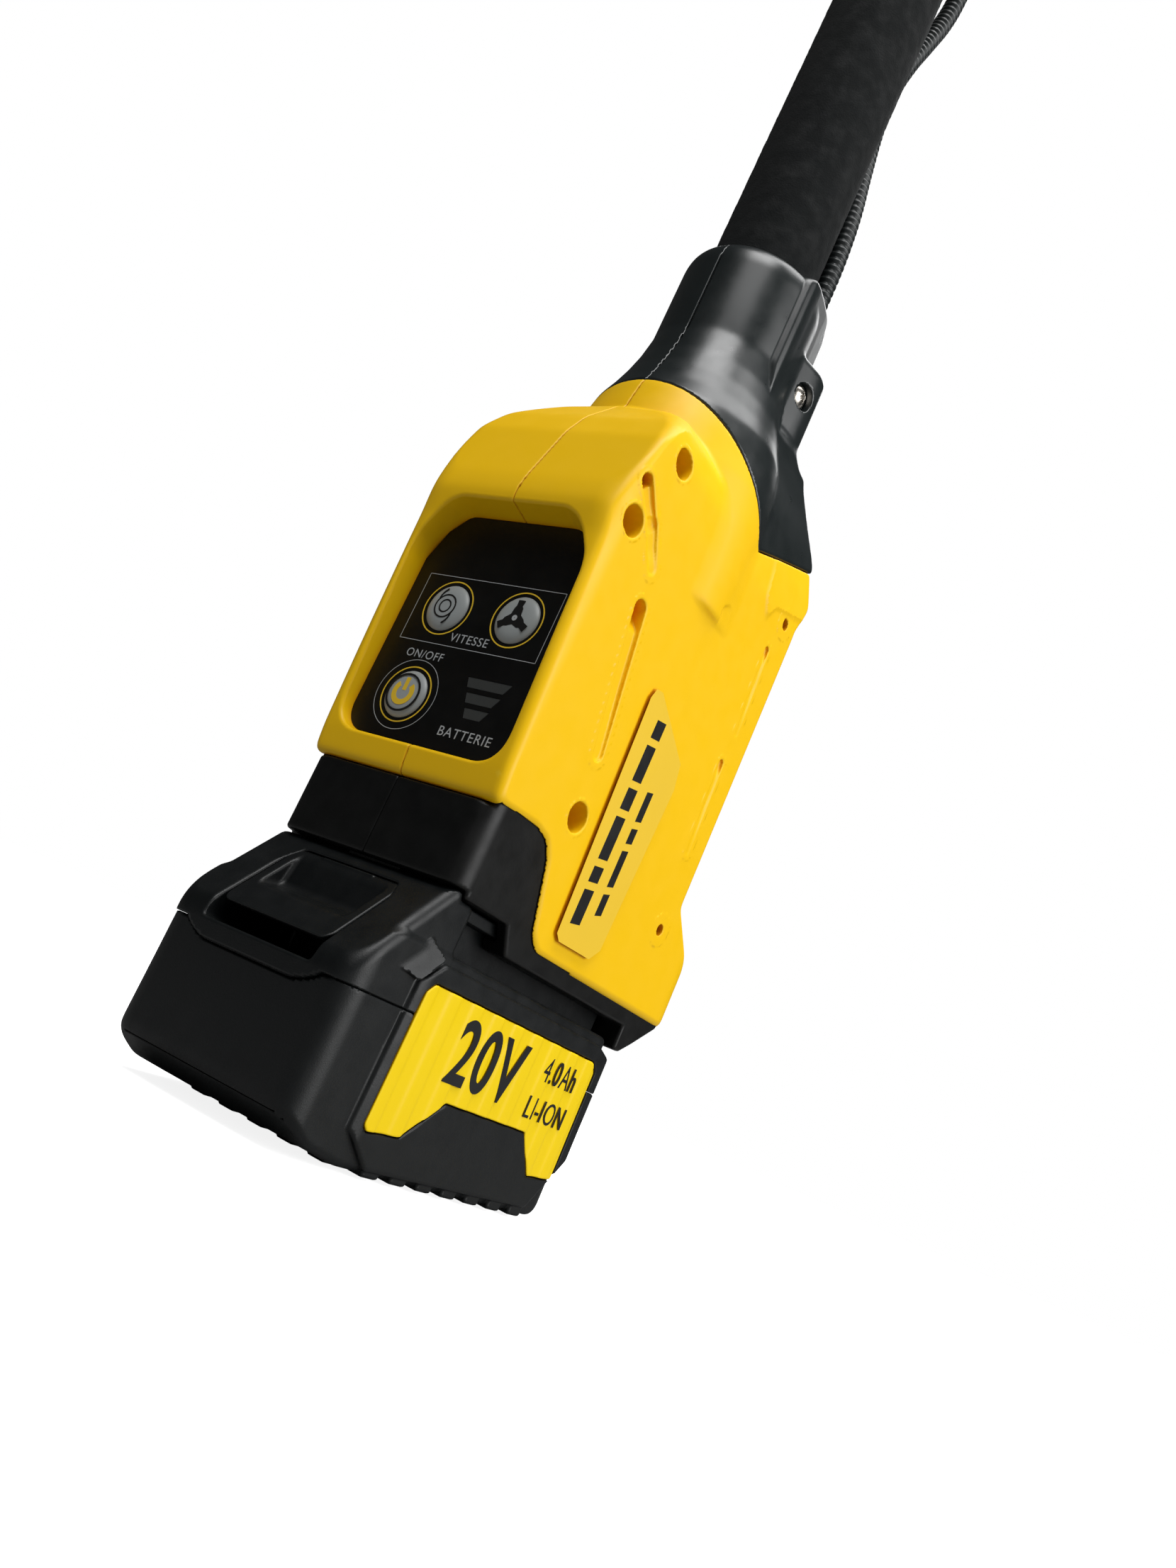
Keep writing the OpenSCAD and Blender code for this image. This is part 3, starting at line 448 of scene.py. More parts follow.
FINISHES = dict(
    # housing_yellow: painted shade to orange, brown and near black in recesses, holes and slots
    housing_yellow=look(
        (0.96, 0.57, 0.0), 0.42, grain=1500, depth=0.010, sheen=0.30, variation=0.03,
        worn=(1.0, 0.66, 0.03), deep_reach=5.0, deep=(
            ((0.82, 0.33, 0.0), 0.80, 0.45), ((0.42, 0.12, 0.0), 0.34, 0.12),
            ((0.040, 0.010, 0.0), 0.13, 0.03))),
    # battery_yellow: painted shade to orange in the inlay's hollows and between its ribs
    battery_yellow=look(
        (0.94, 0.66, 0.0), 0.42, grain=1500, depth=0.012, sheen=0.30, variation=0.04,
        deep_reach=1.6, deep=(((0.62, 0.32, 0.0), 0.75, 0.40),)),
    neck_black=look((0.0085, 0.0125, 0.0130), 0.31, grain=1300, depth=0.008, sheen=0.75),
    seat_black=look((0.0014, 0.0016, 0.0014), 0.45, grain=900, depth=0.03, sheen=0.35),
    battery_black=look((0.0016, 0.0028, 0.0032), 0.44, grain=2400, depth=0.05, sheen=0.45,
                       worn=(0.010, 0.013, 0.013)),
    panel_black=look((0.0018, 0.0018, 0.0016), 0.40, grain=2600, depth=0.02, sheen=0.35),
    button_grey=look((0.34, 0.365, 0.365), 0.38, grain=1500, depth=0.01, variation=0.05),
    clear_grey=look((0.045, 0.048, 0.046), 0.4, grain=2000, depth=0.02),
    label_film=look((0.92, 0.60, 0.045), 0.24, grain=900, depth=0.006, variation=0.06),
    board_green=look((0.01, 0.10, 0.03), 0.35, coat=0.4),
    component_black=look((0.02, 0.02, 0.02), 0.5),
    capacitor_blue=look((0.02, 0.03, 0.15), 0.3, coat=0.3),
    lead_red=look((0.45, 0.01, 0.01), 0.4),
    lead_orange=look((0.6, 0.16, 0.01), 0.4),
    brass=look((0.75, 0.55, 0.22), 0.28, metal=1.0, grain=900, depth=0.01),
    steel=look((0.55, 0.55, 0.56), 0.26, metal=1.0, grain=800, depth=0.01),
    # nickel_screw: painted shade to near black in the cross recess and tight corners
    nickel_screw=look((0.62, 0.58, 0.52), 0.24, metal=1.0, grain=900, depth=0.01,
                      deep=(((0.08, 0.07, 0.06), 0.85, 0.3),), deep_reach=1.0),
    aluminium=look((0.65, 0.66, 0.67), 0.42, metal=1.0, grain=900, depth=0.03),
    laminations=look((0.25, 0.26, 0.28), 0.45, metal=0.9),
    magnet=look((0.3, 0.3, 0.32), 0.3, metal=1.0),
    copper=look((0.65, 0.24, 0.08), 0.3, metal=0.9),
    fan_black=look((0.02, 0.02, 0.02), 0.45),
    bush_tan=look((0.45, 0.33, 0.18), 0.6),
    tube_black=look((0.018, 0.019, 0.02), 0.42, grain=1500, depth=0.04),
    foam_black=look((0.0022, 0.0034, 0.0036), 0.95, grain=1700, depth=0.30, sheen=0.3,
                    mottle=420, variation=0.3),
    conduit_black=look((0.012, 0.016, 0.016), 0.42, grain=1500, depth=0.02),
    cell_green=look((0.02, 0.25, 0.24), 0.3, coat=0.3),
    holder_ivory=look((0.6, 0.57, 0.47), 0.5),
    print_dark=look((0.008, 0.008, 0.008), 0.40),
    print_grey=look((0.42, 0.44, 0.45), 0.45),
    print_gold=look((0.85, 0.56, 0.03), 0.36),
)
materials = {}


def dress(piece, finish, body=None, *nodes):
    """Gives a piece its material and body, and hides the CAD nodes that it stands for."""
    if finish not in materials:
        base, more = FINISHES[finish]
        materials[finish] = finish_of(finish, *base, **more)
    piece.data.materials.clear()
    piece.data.materials.append(materials[finish])
    if body:
        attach(piece, body)
        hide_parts(*nodes)
    return piece


def mirrored_pair(nodes, field, low, high, step, finish, body):
    """Skins of a right and a left node. field(side) gives each one's field, seen from the right."""
    for side, node in zip((1, -1), nodes):
        piece = solid(node + "_skin", field(side), low, high, step, flip=side < 0)
        dress(piece, finish, body, node)


# ---- Housing ----

shell_low, shell_high = corners("shell_right")
HALF_W = shell_high[0]
FOOT_Z = shell_low[2]
WALL = 2.8
SEAM = 0.09
SIDE_FACE = HALF_W - 0.6
BORDER_Y, BORDER_Z, BORDER_GAP = 14.0, 222.5, 0.12
FRONT_SLOPE, BACK_SLOPE = 0.649, 0.407
panel_low, panel_high = corners("panel_plate")
PANEL_W, PANEL_Y = panel_high[0], panel_low[1]

housing_side = Outline([
    (-56, 100), (-57.3, 109), (-62, 180), (-64, 188.5), (-63, 192), (-55, 216), (-50, 225),
    (-42, 234), (-37, 240), (-20, 262), (30, 262), (57, 240), (62, 227), (57, 216), (57, 110),
    (73, 97), (79, 90), (77, FOOT_Z), (-12, FOOT_Z), (-17, 75), (-25, 95), (-29, 99.5),
    (-36, 101)], 1.4)
housing_front = Outline(mirrored([
    (HALF_W, 50), (HALF_W, 205), (HALF_W - 1, 218), (HALF_W - 4, 226), (28, 233), (20, 238),
    (0, 241)]), 2.0)
housing_back = Outline(mirrored([
    (HALF_W, 50), (HALF_W, 214), (HALF_W - 2, 228), (HALF_W - 5, 242), (HALF_W - 9, 262)]), 1.4)
shoulder = Outline(mirrored([
    (HALF_W, 190), (38, 205), (37.6, 222), (36.9, 233), (35.3, 243.4), (33.8, 250.8), (31.1, 257.1),
    (28.7, 263.9), (26.6, 271.6), (25, 281), (25, 311), (24.5, 314), (23, 316.5), (21, 317.5)]), 1)
panel_opening = Outline(mirrored([
    (PANEL_W - 7, 109.8), (PANEL_W - 3.2, 111.2), (PANEL_W - 0.8, 114.2), (PANEL_W, 118),
    (PANEL_W, 168), (30, 172.6), (26.6, 178.6), (23.4, 182.2), (19.5, 184)]), 1.4)
upper_step = Outline([(70, 224), (37, 214), (33, 207), (27, 214), (20, 250), (70, 262)], 1.0)
v_dent = Outline([(4, 196), (17, 158), (30, 193), (24, 197), (17, 176), (10, 199)], 1.4)


def above_border(y, z):
    """Distance above the line where the yellow housing gives way to the neck."""
    slope = np.where(y < BORDER_Y, -FRONT_SLOPE, BACK_SLOPE)
    return (z - BORDER_Z - slope * (y - BORDER_Y)) / np.sqrt(1 + slope ** 2)


def housing_body(p):
    x, y, z = p
    flat, wide = (rounded_rect(x, y, (-w, -64), (w, 79), 10) for w in (SIDE_FACE, HALF_W))
    raised = meet(upper_step(y, z), np.abs(x) - HALF_W, 0.5)
    flat = join(flat, meet(raised, wide, 0.5), 0.6)
    share = smooth_step((y - 4) / 20)
    top = housing_front(x, z) * (1 - share) + housing_back(x, z) * share
    body = meet(meet(housing_side(y, z), flat, 2.6), top, 5.0)
    return join(body, shoulder(np.hypot(x, y), z), 1.4)


# Screws as y, z and the side that the head is on
SCREWS = [(-20, 111, 1), (-53, 189, 1), (-42, 216, 1), (48, 99, -1), (47, 214, -1)]
SCREW_SEAT = 22
HOLE_R = 2
# Air slots as width, depth of the hole at the upper end, depth of the groove and its two ends
SLOTS = [
    (5.0, 6.6, 2.6, (-54.5, 201), (-44.5, 193)), (5.0, 2.6, 2.0, (-44.5, 193), (-36.5, 184)),
    (6.0, 6.6, 2.6, (-33.5, 172), (-23.5, 130)), (2.6, 2.4, 1.6, (42, 201), (44.6, 170)),
    (2.6, 2.4, 1.6, (43, 158), (45, 126))]
SLOT_BACK = 2.4


def shell_field(side):
    def field(p):
        x, y, z = p
        body = housing_body(p)
        outer = meet(body, above_border(y, z) + BORDER_GAP, 0.7)
        outer = cut(outer, meet(v_dent(y, z), SIDE_FACE - 0.45 - x, 0.3), 0.9)
        room = maximum(body + WALL, -51 - y)
        room = join(room, block(p, (-32.5, -10, 50), (32.5, 48, 80)), 0.5)
        room = join(room, block(p, (WALL - HALF_W, -53.2, 50), (HALF_W - WALL, 10, 106.5)), 0.5)
        shell = cut(outer, room, 0.5)
        posts = np.min([np.hypot(y - sy, z - sz) for sy, sz, _ in SCREWS], 0) - 5.6
        shell = join(shell, maximum(posts, outer), 0.4)
        for width, deep_start, _, a, b in SLOTS:
            away, _ = near_line(y, z, a, b)
            backing = maximum(away - width / 2 - 1.6, SIDE_FACE - deep_start - SLOT_BACK - x)
            shell = join(shell, maximum(backing, outer), 0.4)
        flare = 0.16 * maximum(-52.5 - y, 0)
        shell = cut(shell, maximum(panel_opening(x, z) - flare, slab(y, -90, -50)), 1.1)
        for sy, sz, head in SCREWS:
            around = np.hypot(y - sy, z - sz)
            shell = cut(shell, around - HOLE_R, 0.2)
            if head == side:
                shell = cut(shell, maximum(around - 4.6, SCREW_SEAT - x), 0.7)
        for width, deep_start, deep_end, a, b in SLOTS:
            away, t = near_line(y, z, a, b)
            groove = deep_start + (deep_end - deep_start) * smooth_step(t * 6)
            floor = SIDE_FACE - groove + 0.5 * smooth_step(t * 2 - 1) - x
            shell = cut(shell, meet(away - width / 2 * (1 - 0.2 * t), floor, 0.8), 0.7)
        return meet(shell, SEAM - x, 0.35)
    return field


def build_shells():
    low, high = (0, -66, FOOT_Z), (HALF_W, 80, 262)
    mirrored_pair(("shell_right", "shell_left"), shell_field, low, high, 0.65,
                  "housing_yellow", "housing")


# ---- Neck ----

neck_side = Outline([
    (-2, 225), (14, 222.5), (57, 240), (54, 245), (40, 260), (34, 268), (31, 277), (30.5, 291),
    (28.5, 295.5), (30.2, 301), (28.5, 317), (22, 324), (8, 321), (-8, 316), (-8, 281),
    (-2, 260)], 1.0)
neck_back = Outline(mirrored([
    (36, 215), (34, 238), (32.5, 244), (30, 253), (27.6, 263), (27, 273), (27, 335)]), 1.4)
# Plan of the cable boss as (x, y); its front corners stand out of the round collar as two ridges
boss_plan = Outline(mirrored([
    (0, -10.6), (22.6, -10.6), (27.3, -4.8), (20.5, 17), (17, 27), (12, 31)]), 0.45)
boss_lobe = Outline(mirrored([
    (0, -8), (22, -4), (23.4, 10), (26.6, 21), (26.2, 25.6), (22.6, 30), (17, 31.6), (0, 31.6)]), 1)
LOBE_TOP_Z = 299.5
coupling_room = Outline(mirrored([(30, 195), (30, 238), (24, 250), (15, 258), (0, 258)]), 0.5)
back_room = Outline([(10, 214), (16, 262), (30, 262), (38, 252), (48, 240), (48, 222)], 0.5)
NECK_SCREW_SEAT = 22.4
NECK_SCREW = sum(corners("neck_screw"))[1:] / 2
sleeve_low, sleeve_high = corners("foam_sleeve")
TUBE_R = corners("drive_tube")[1][0]


def neck_field(side):
    def field(p):
        x, y, z = p
        across = np.hypot(x, y)
        front = meet(shoulder(across, z), 206 - z, 0.5)
        boss = join(boss_plan(x, y), meet(boss_lobe(x, y), z - LOBE_TOP_Z, 3.0), 1.5)
        skirt = maximum(z - 266, slab(y, 2, 70))
        back = meet(neck_side(y, z), neck_back(x, z), 1.6)
        back = meet(back, join(boss, skirt, 6), 1.8)
        border = above_border(y, z)
        neck = meet(join(front, back, 0.5), BORDER_GAP - border, 0.45)
        spigot = maximum(housing_body(p) + WALL + 0.2, maximum(border - 1, 229 - z))
        neck = minimum(neck, maximum(spigot, slab(y, -30, 49)))
        neck = cut(neck, coupling_room(across, z), 0.4)
        neck = cut(neck, maximum(across - TUBE_R - 0.1, z - 400), 0.3)
        neck = cut(neck, maximum(across - sleeve_high[0] - 0.35, sleeve_low[2] - 1 - z), 1.0)
        neck = cut(neck, maximum(back_room(y, z), np.abs(x) - 24), 0.4)
        pipe = np.hypot(side * x - 12, y - 21)
        neck = cut(neck, maximum(pipe - 4.2, 303 - z), 0.5)
        around = np.hypot(y - NECK_SCREW[0], z - NECK_SCREW[1])
        neck = cut(neck, around - HOLE_R, 0.2)
        if side > 0:
            neck = cut(neck, maximum(around - 4.7, NECK_SCREW_SEAT - x), 0.5)
        return meet(neck, SEAM / 2 - x, 0.2)
    return field


def build_neck():
    low, high = (0, -40, 214), (HALF_W, 60, 326)
    mirrored_pair(("neck_right", "neck_left"), neck_field, low, high, 0.75, "neck_black", "housing")


# ---- Battery seat ----

seat_side = Outline([
    (-56, 76.3), (-56, 99.8), (-53, 99.8), (-53, 106), (-50.5, 106), (-50.5, 104.5), (-18, 104.5),
    (-18, 92), (60, 92), (74, 80), (73.5, 70.5), (62, 62), (56, 58), (52.3, 58), (52.3, 66.2),
    (-23, 66.2), (-28, 74.3), (-49.5, 74.3), (-49.5, 76.3)], 0.35)


def seat_field(p):
    x, y, z = p
    seat = meet(seat_side(y, z), rounded_rect(x, y, (-35, -56), (35, 80), 7), 1.0)
    seat = cut(seat, block(p, (-32.4, -52.5, 77.2), (32.4, 72, 115)), 0.3)
    seat = cut(seat, block(p, (-26.6, -70, 50), (26.6, 52, 74.2), 0.1), 0.4)
    seat = cut(seat, block(p, (-31.2, -70, 69.5), (31.2, 52, 74.2), 0.1), 0.4)
    seat = cut(seat, block(p, (-12, -50.4, 55), (12, -41, 82), 0.1), 0.3)
    seat = cut(seat, block(p, (-20, 16, 70), (20, 44, 80), 0.1), 0.3)
    return meet(seat, SEAM - x, 0.45)


def build_seat():
    low, high = (0, -56, 58), (35, 76, 106)
    mirrored_pair(("seat_right", "seat_left"), lambda side: seat_field, low, high, 0.7,
                  "seat_black", "housing")


# ---- Battery ----

lower_low, lower_high = corners("battery_lower_case")
CASE_W, CASE_WALL, POST_R = 35.5, 2.4, 3.5
PAD_W = lower_high[0]
SPLIT_Z = lower_high[2]
CASE_FRONT, CASE_BACK = lower_low[1], lower_high[1]
SPLIT_GAP = 0.05
NOSE_FOOT, NOSE_TOP_Y, NOSE_TOP_Z = 48.0, -53.5, 76.0
NOSE_RUN = (NOSE_TOP_Y - CASE_FRONT) / (NOSE_TOP_Z - NOSE_FOOT)

lower_side = Outline([
    (CASE_FRONT, 60), (CASE_FRONT, 10), (-66, 3.5), (-52, 1.2), (44, 1.2), (CASE_BACK, 6),
    (CASE_BACK, 60)], 1.4)
nose_side = Outline([
    (CASE_FRONT, 30), (CASE_FRONT, NOSE_TOP_Z), (-50, NOSE_TOP_Z), (-50, 73.6), (-43.5, 73.6),
    (-43.5, 30)], 0.7)
DIP_FOOT, DIP_TOP, DIP_Z, DIP_DEPTH = 20.5, 26.5, 38.4, 2.1
pad_side = Outline([
    (-54.8, 50.5), (-47.7, 57), (40.3, 56.8), (47.4, 54.4), (47.5, 20.5), (35.1, 3.7), (-44, 2.4),
    (-55.7, 11.1)], 0.5)
PAD_FACET_Y, PAD_FACET_RUN = -57.0, 0.34
inlay_side = Outline([
    (-51.2, 48.8), (-48.8, 51.4), (39.6, 51.4), (42.6, 48.6), (43, 13.8), (28.8, 12.9),
    (18.4, 24.6), (-23.5, 24.6), (-36.5, 12.7), (-50.2, 11.8), (-51.8, 13.2)], 0.5)
# Ramp from each side pad's front corner to the nose: its (y, z) and its plane (x, y, z) . n = d
ramp_side = Outline([(-49, 58), (-55.6, 50.4), (-64.6, 51.8), (-55, 61.9)], 0.35)
RAMP_NORMAL, RAMP_REACH = (0.919, -0.290, 0.269), 64.65
window_front = Outline(mirrored([(21, 44), (21, 66), (18, 71.5), (0, 71.5)]), 0.7)
INLAY_PITCH, INLAY_FLOOR = 11, PAD_W - 1.3
CASE_SCREWS = [(-27, -60), (27, -60), (-27.5, 44.3), (27.5, 44.3)]


def before_slope(y, z):
    """Distance in front of the nose's slope."""
    return (CASE_FRONT + (z - NOSE_FOOT) * NOSE_RUN - y) / math.hypot(1, NOSE_RUN)


def above_split(x, y, z):
    """Upper side of the split between the two cases, which dips in front, below the latch."""
    run, rise = DIP_TOP - DIP_FOOT, SPLIT_Z - DIP_Z
    corner = ((np.abs(x) - DIP_TOP) * rise - (z - SPLIT_Z) * run) / math.hypot(run, rise)
    dip = meet(corner, DIP_Z - z, 3.0)
    return minimum(SPLIT_Z - z, maximum(dip, y - CASE_FRONT - DIP_DEPTH))


def case_plan(x, y, inset=0.0):
    low, high = (inset - CASE_W, CASE_FRONT + inset), (CASE_W - inset, CASE_BACK - inset)
    return rounded_rect(x, y, low, high, 8 - inset)


def near_screws(x, y):
    """Distance to the nearest of the screws that hold the two cases together."""
    return np.min([np.hypot(x - sx, y - sy) for sx, sy in CASE_SCREWS], 0)


def side_pads(x, y, z):
    wide = np.abs(x)
    facet = (wide - PAD_W + 1.7 - PAD_FACET_RUN * (y - PAD_FACET_Y)) / math.hypot(1, PAD_FACET_RUN)
    face = meet(wide - PAD_W, facet, 0.4)
    return maximum(meet(pad_side(y, z), face, 0.9), CASE_W - 1.2 - wide)


def nose_ramps(x, y, z):
    plane = sum(n * c for n, c in zip(RAMP_NORMAL, (np.abs(x), y, z))) - RAMP_REACH
    return maximum(meet(ramp_side(y, z), plane, 0.3), 30 - np.abs(x))


def inlay_recess(x, y, z):
    return maximum(inlay_side(y, z) - 0.3, INLAY_FLOOR - np.abs(x))


def lower_case(p):
    x, y, z = p
    case = meet(lower_side(y, z), case_plan(x, y), 2.4)
    case = join(case, side_pads(x, y, z), 0.5)
    for i in range(-2, 3):
        case = join(case, block(p, (i * 12 - 3.5, -48, 0), (i * 12 + 3.5, 40, 5), 0.8), 0.7)
    for i in range(-3, 4):
        for side in (-1, 1):
            low, high = (side * 33 - 3.4, i * 12 - 7.1, 0.6), (side * 33 + 3.4, i * 12 + 0.1, 8)
            case = join(case, block(p, low, high, 1.0), 0.5)
    case = meet(case, SPLIT_GAP - above_split(x, y, z), 0.35)
    around = near_screws(x, y)
    room = maximum(case_plan(x, y, CASE_WALL), 3.0 + np.clip((-51 - y) * 0.25, 0, 9) - z)
    case = cut(case, maximum(room, POST_R - around), 0.3)
    case = cut(case, inlay_recess(x, y, z), 0.3)
    return cut(case, minimum(around - 1.6, maximum(around - 3, z - 10)), 0.2)


def upper_case(p):
    x, y, z = p
    case = meet(case_plan(x, y), z - 60, 1.8)
    nose = meet(nose_side(y, z), rounded_rect(x, y, (-34.6, CASE_FRONT), (34.6, 60), 6), 1.4)
    case = meet(join(case, nose, 1.2), before_slope(y, z), 3.2)
    case = join(case, side_pads(x, y, z), 0.5)
    case = join(case, nose_ramps(x, y, z), 0.4)
    case = meet(case, above_split(x, y, z) + SPLIT_GAP, 0.35)
    case = join(case, block(p, (-26, -46, 55), (26, CASE_BACK, 73.6), 0.5), 0.6)
    case = join(case, block(p, (-30.6, -43.5, 70.1), (30.6, CASE_BACK, 73.6), 0.5), 0.3)
    around = near_screws(x, y)
    room = maximum(case_plan(x, y, CASE_WALL), maximum(z - 57.6, -42 - y))
    case = cut(case, maximum(room, POST_R - around), 0.3)
    case = cut(case, block(p, (-24, -42, 50), (24, CASE_BACK - 2, 71.6), 0.3), 0.3)
    for contact in (-15, -5, 5, 15):
        case = cut(case, block(p, (contact - 1.1, 20, 62), (contact + 1.1, 60, 80), 0.1), 0.2)
    case = cut(case, maximum(window_front(x, z), slab(y, -90, -44.2)), 0.9)
    case = cut(case, block(p, (-10.4, -50.4, 60), (10.4, -44.6, 80), 0.1), 0.3)
    case = cut(case, inlay_recess(x, y, z), 0.3)
    return cut(case, maximum(around - 1.5, z - 54), 0.2)


def inlay_field(p):
    x, y, z = p
    ribs = 0.45 * (0.5 + 0.5 * np.tanh(2.4 * np.sin((y - 2.5) * 2 * math.pi / INLAY_PITCH)))
    face = x - (PAD_W - 0.35 + ribs)
    return maximum(meet(inlay_side(y, z), face, 0.35), INLAY_FLOOR + 0.15 - x)


def latch_field(p):
    x, y, z = p
    plate = rounded_rect(x, z, (-20.5, 50), (20.5, 71.2), 3.0)
    plate = meet(meet(before_slope(y, z) + 0.25, plate, 0.7), y + 56, 0.5)
    arm = block(p, (-10, -58, 61.8), (10, -45, 71.2), 0.4)
    arm = join(arm, block(p, (-10, -50, 64), (10, -45, 81), 0.4), 0.3)
    lead_in = ((z - 81) + (y + 48.8) * 1.18) / math.hypot(1, 1.18)
    latch = join(plate, maximum(arm, lead_in), 0.4)
    floor = (57.3 + (y + 70) * 0.22 - z) / math.hypot(1, 0.22)
    back = (y + 60.8 - (z - 59.3) * 0.19) / math.hypot(1, 0.19)
    hollow = meet(meet(floor, back, 2.0), np.abs(x) - 17, 1.5)
    return cut(latch, hollow, 0.8)


def build_battery():
    halves = (("lower", lower_case, 0, SPLIT_Z), ("upper", upper_case, DIP_Z, NOSE_TOP_Z))
    for half, field, low_z, high_z in halves:
        low, high = (-PAD_W, CASE_FRONT, low_z), (PAD_W, CASE_BACK, high_z)
        piece = solid(f"battery_{half}_skin", field, low, high, 0.75)
        dress(piece, "battery_black", "battery", f"battery_{half}_case")
    low, high = (INLAY_FLOOR, -53, 11), (PAD_W + 0.3, 45, 53)
    mirrored_pair(("battery_inlay_right", "battery_inlay_left"), lambda side: inlay_field,
                  low, high, 0.45, "battery_yellow", "battery")
    piece = solid("battery_latch_skin", latch_field, (-20.5, -76, 50), (20.5, -45, 81), 0.55)
    dress(piece, "battery_black", "latch", "battery_latch")


# ---- Grip, conduit and plug ----

def build_sleeve():
    inner, outer = TUBE_R + 0.1, sleeve_high[0]
    bottom, top = sleeve_low[2], sleeve_high[2]
    rings, end_round = 150, 1.6
    profile = [(inner, bottom)]
    for z in np.linspace(bottom, top, rings + 1):
        rounding = 1.4 * max(0.0, 1 - min(z - bottom, top - z) / end_round) ** 2
        profile.append((outer - 0.15 - rounding, z))
    profile.append((inner, top))
    piece = turned("foam_grip", profile, (0, 0), 120)
    random = np.random.default_rng(7)
    bumps = random.normal(0, 0.06, len(piece.data.vertices))
    for vertex, bump in zip(piece.data.vertices, bumps):
        across = math.hypot(vertex.co.x, vertex.co.y)
        if across > (outer - 1) * MM:
            swell = 1 + min(bump, 0.14) * MM / across
            vertex.co.x *= swell
            vertex.co.y *= swell
    dress(piece, "foam_black", "housing", "foam_sleeve")


CONDUIT_PATH = [
    (12, 21, 304), (12, 21, 330), (11.4, 21.4, 350), (8.8, 22.6, 372), (4.4, 24, 395),
    (1, 24.6, 418), (0, 25.6, 438), (0, 29, 455), (0, 34.4, 472), (0, 39.6, 489), (0, 42, 505),
    (0, 42, 528)]
CONDUIT_R, CONDUIT_BORE_R = 4.0, 2.6
RIB_PITCH, RIB_DEPTH = 2.9, 0.75


def curve_through(points, spacing):
    """Evenly spaced points on a smooth curve through the given ones."""
    points = [np.array(p, float) for p in points]
    dense = []
    for i in range(len(points) - 1):
        a, b = points[max(i - 1, 0)], points[i]
        c, d = points[i + 1], points[min(i + 2, len(points) - 1)]
        for t in np.linspace(0, 1, 60, endpoint=False):
            cubic = 2 * a - 5 * b + 4 * c - d + t * (3 * (b - c) + d - a)
            dense.append(b + 0.5 * t * (c - a + t * cubic))
    dense = np.array(dense + [points[-1]])
    run = np.r_[0, np.cumsum(np.linalg.norm(np.diff(dense, axis=0), axis=1))]
    places = np.linspace(0, run[-1], int(run[-1] / spacing) + 1)
    return np.stack([np.interp(places, run, dense[:, i]) for i in range(3)], 1), places


def build_conduit():
    path, run = curve_through(CONDUIT_PATH, RIB_PITCH / 9)
    across = unit(np.cross((1.0, 0, 0), np.gradient(path, axis=0)))
    waves = 0.5 - 0.5 * np.tanh(2.0 * np.cos(2 * math.pi * run / RIB_PITCH))
    turns = 24
    skins = [tube_points(path, radius, across, turns)
             for radius in (CONDUIT_R - RIB_DEPTH * waves, CONDUIT_BORE_R)]
    inner = len(skins[0])
    last = inner - turns
    faces = tube_faces(len(path), turns)
    faces += [face[::-1] for face in tube_faces(len(path), turns, inner)]
    for j in range(turns):
        k = (j + 1) % turns
        faces.append((k, j, inner + j, inner + k))
        faces.append((last + j, last + k, inner + last + k, inner + last + j))
    piece = mesh_object("ribbed_conduit", np.concatenate(skins) * MM, faces)
    dress(piece, "conduit_black", "housing", "cable_conduit")


def build_plug():
    low, high = corners("cable_plug")
    centre, r, z0, z1 = (low + high)[:2] / 2, (high[0] - low[0]) / 2, low[2], high[2]
    profile = [(1, z0), (5, z0), (5.3, z0 + 1), (6, z0 + 7.6), (r - 0.4, z0 + 8), (r, z0 + 8.6)]
    for i in range(4):
        z = z0 + 11 + i * 2.4
        profile += [(r, z), (r - 0.5, z + 0.4), (r - 0.5, z + 1.2), (r, z + 1.6)]
    profile += [(r, z1 - 0.6), (r - 0.6, z1), (r - 1.4, z1), (r - 1.6, z1 - 0.4), (r - 1.6, z1 - 9),
                (1.0, z1 - 9)]
    piece = turned("inline_plug", profile, centre, 64)
    dress(piece, "seat_black", "housing", "cable_plug")


def build_latch_spring():
    """Coil under the latch, with a mesh of its own."""
    low, high = corners("latch_spring")
    wire, coils, sides = 0.35, 6, 12
    radius = (high[0] - low[0]) / 2 - wire
    centre = (low + high)[:2] / 2
    along = np.linspace(0, 1, 240)
    angle = 2 * math.pi * coils * along
    across = np.stack([np.cos(angle), np.sin(angle), np.zeros_like(angle)], 1)
    path = radius * across + (*centre, low[2] + wire)
    path[:, 2] += (high[2] - low[2] - 2 * wire) * along
    last = (len(path) - 1) * sides
    faces = tube_faces(len(path), sides)
    faces += [list(reversed(range(sides))), list(range(last, last + sides))]
    piece = mesh_object("latch_coil", tube_points(path, wire, across, sides) * MM, faces)
    dress(piece, "steel", "battery", "latch_spring")
    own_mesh(piece)


# ---- Screws ----

def screw_field(length, head_r=4.0, head_h=2.6, shank_r=1.95):
    """Pan-head screw along X, with the underside of its head at x = 0 and a cross recess."""
    def field(p):
        x, y, z = p
        around = np.hypot(y, z)
        dome = np.hypot(around, x + 3.3) - 5.9
        head = meet(maximum(dome, around - head_r), -x, 0.25)
        head = maximum(head, x - head_h)
        taper = 0.45 * maximum(x - 0.9, 0)
        wings = minimum(*(maximum(np.abs(a) - 0.55, np.abs(b) - 1.2 - taper)
                          for a, b in ((y, z), (z, y))))
        head = cut(head, maximum(wings, 0.9 - x), 0.12)
        shank = maximum(around - shank_r, slab(x, -length, 0.3))
        return minimum(head, shank)
    return field


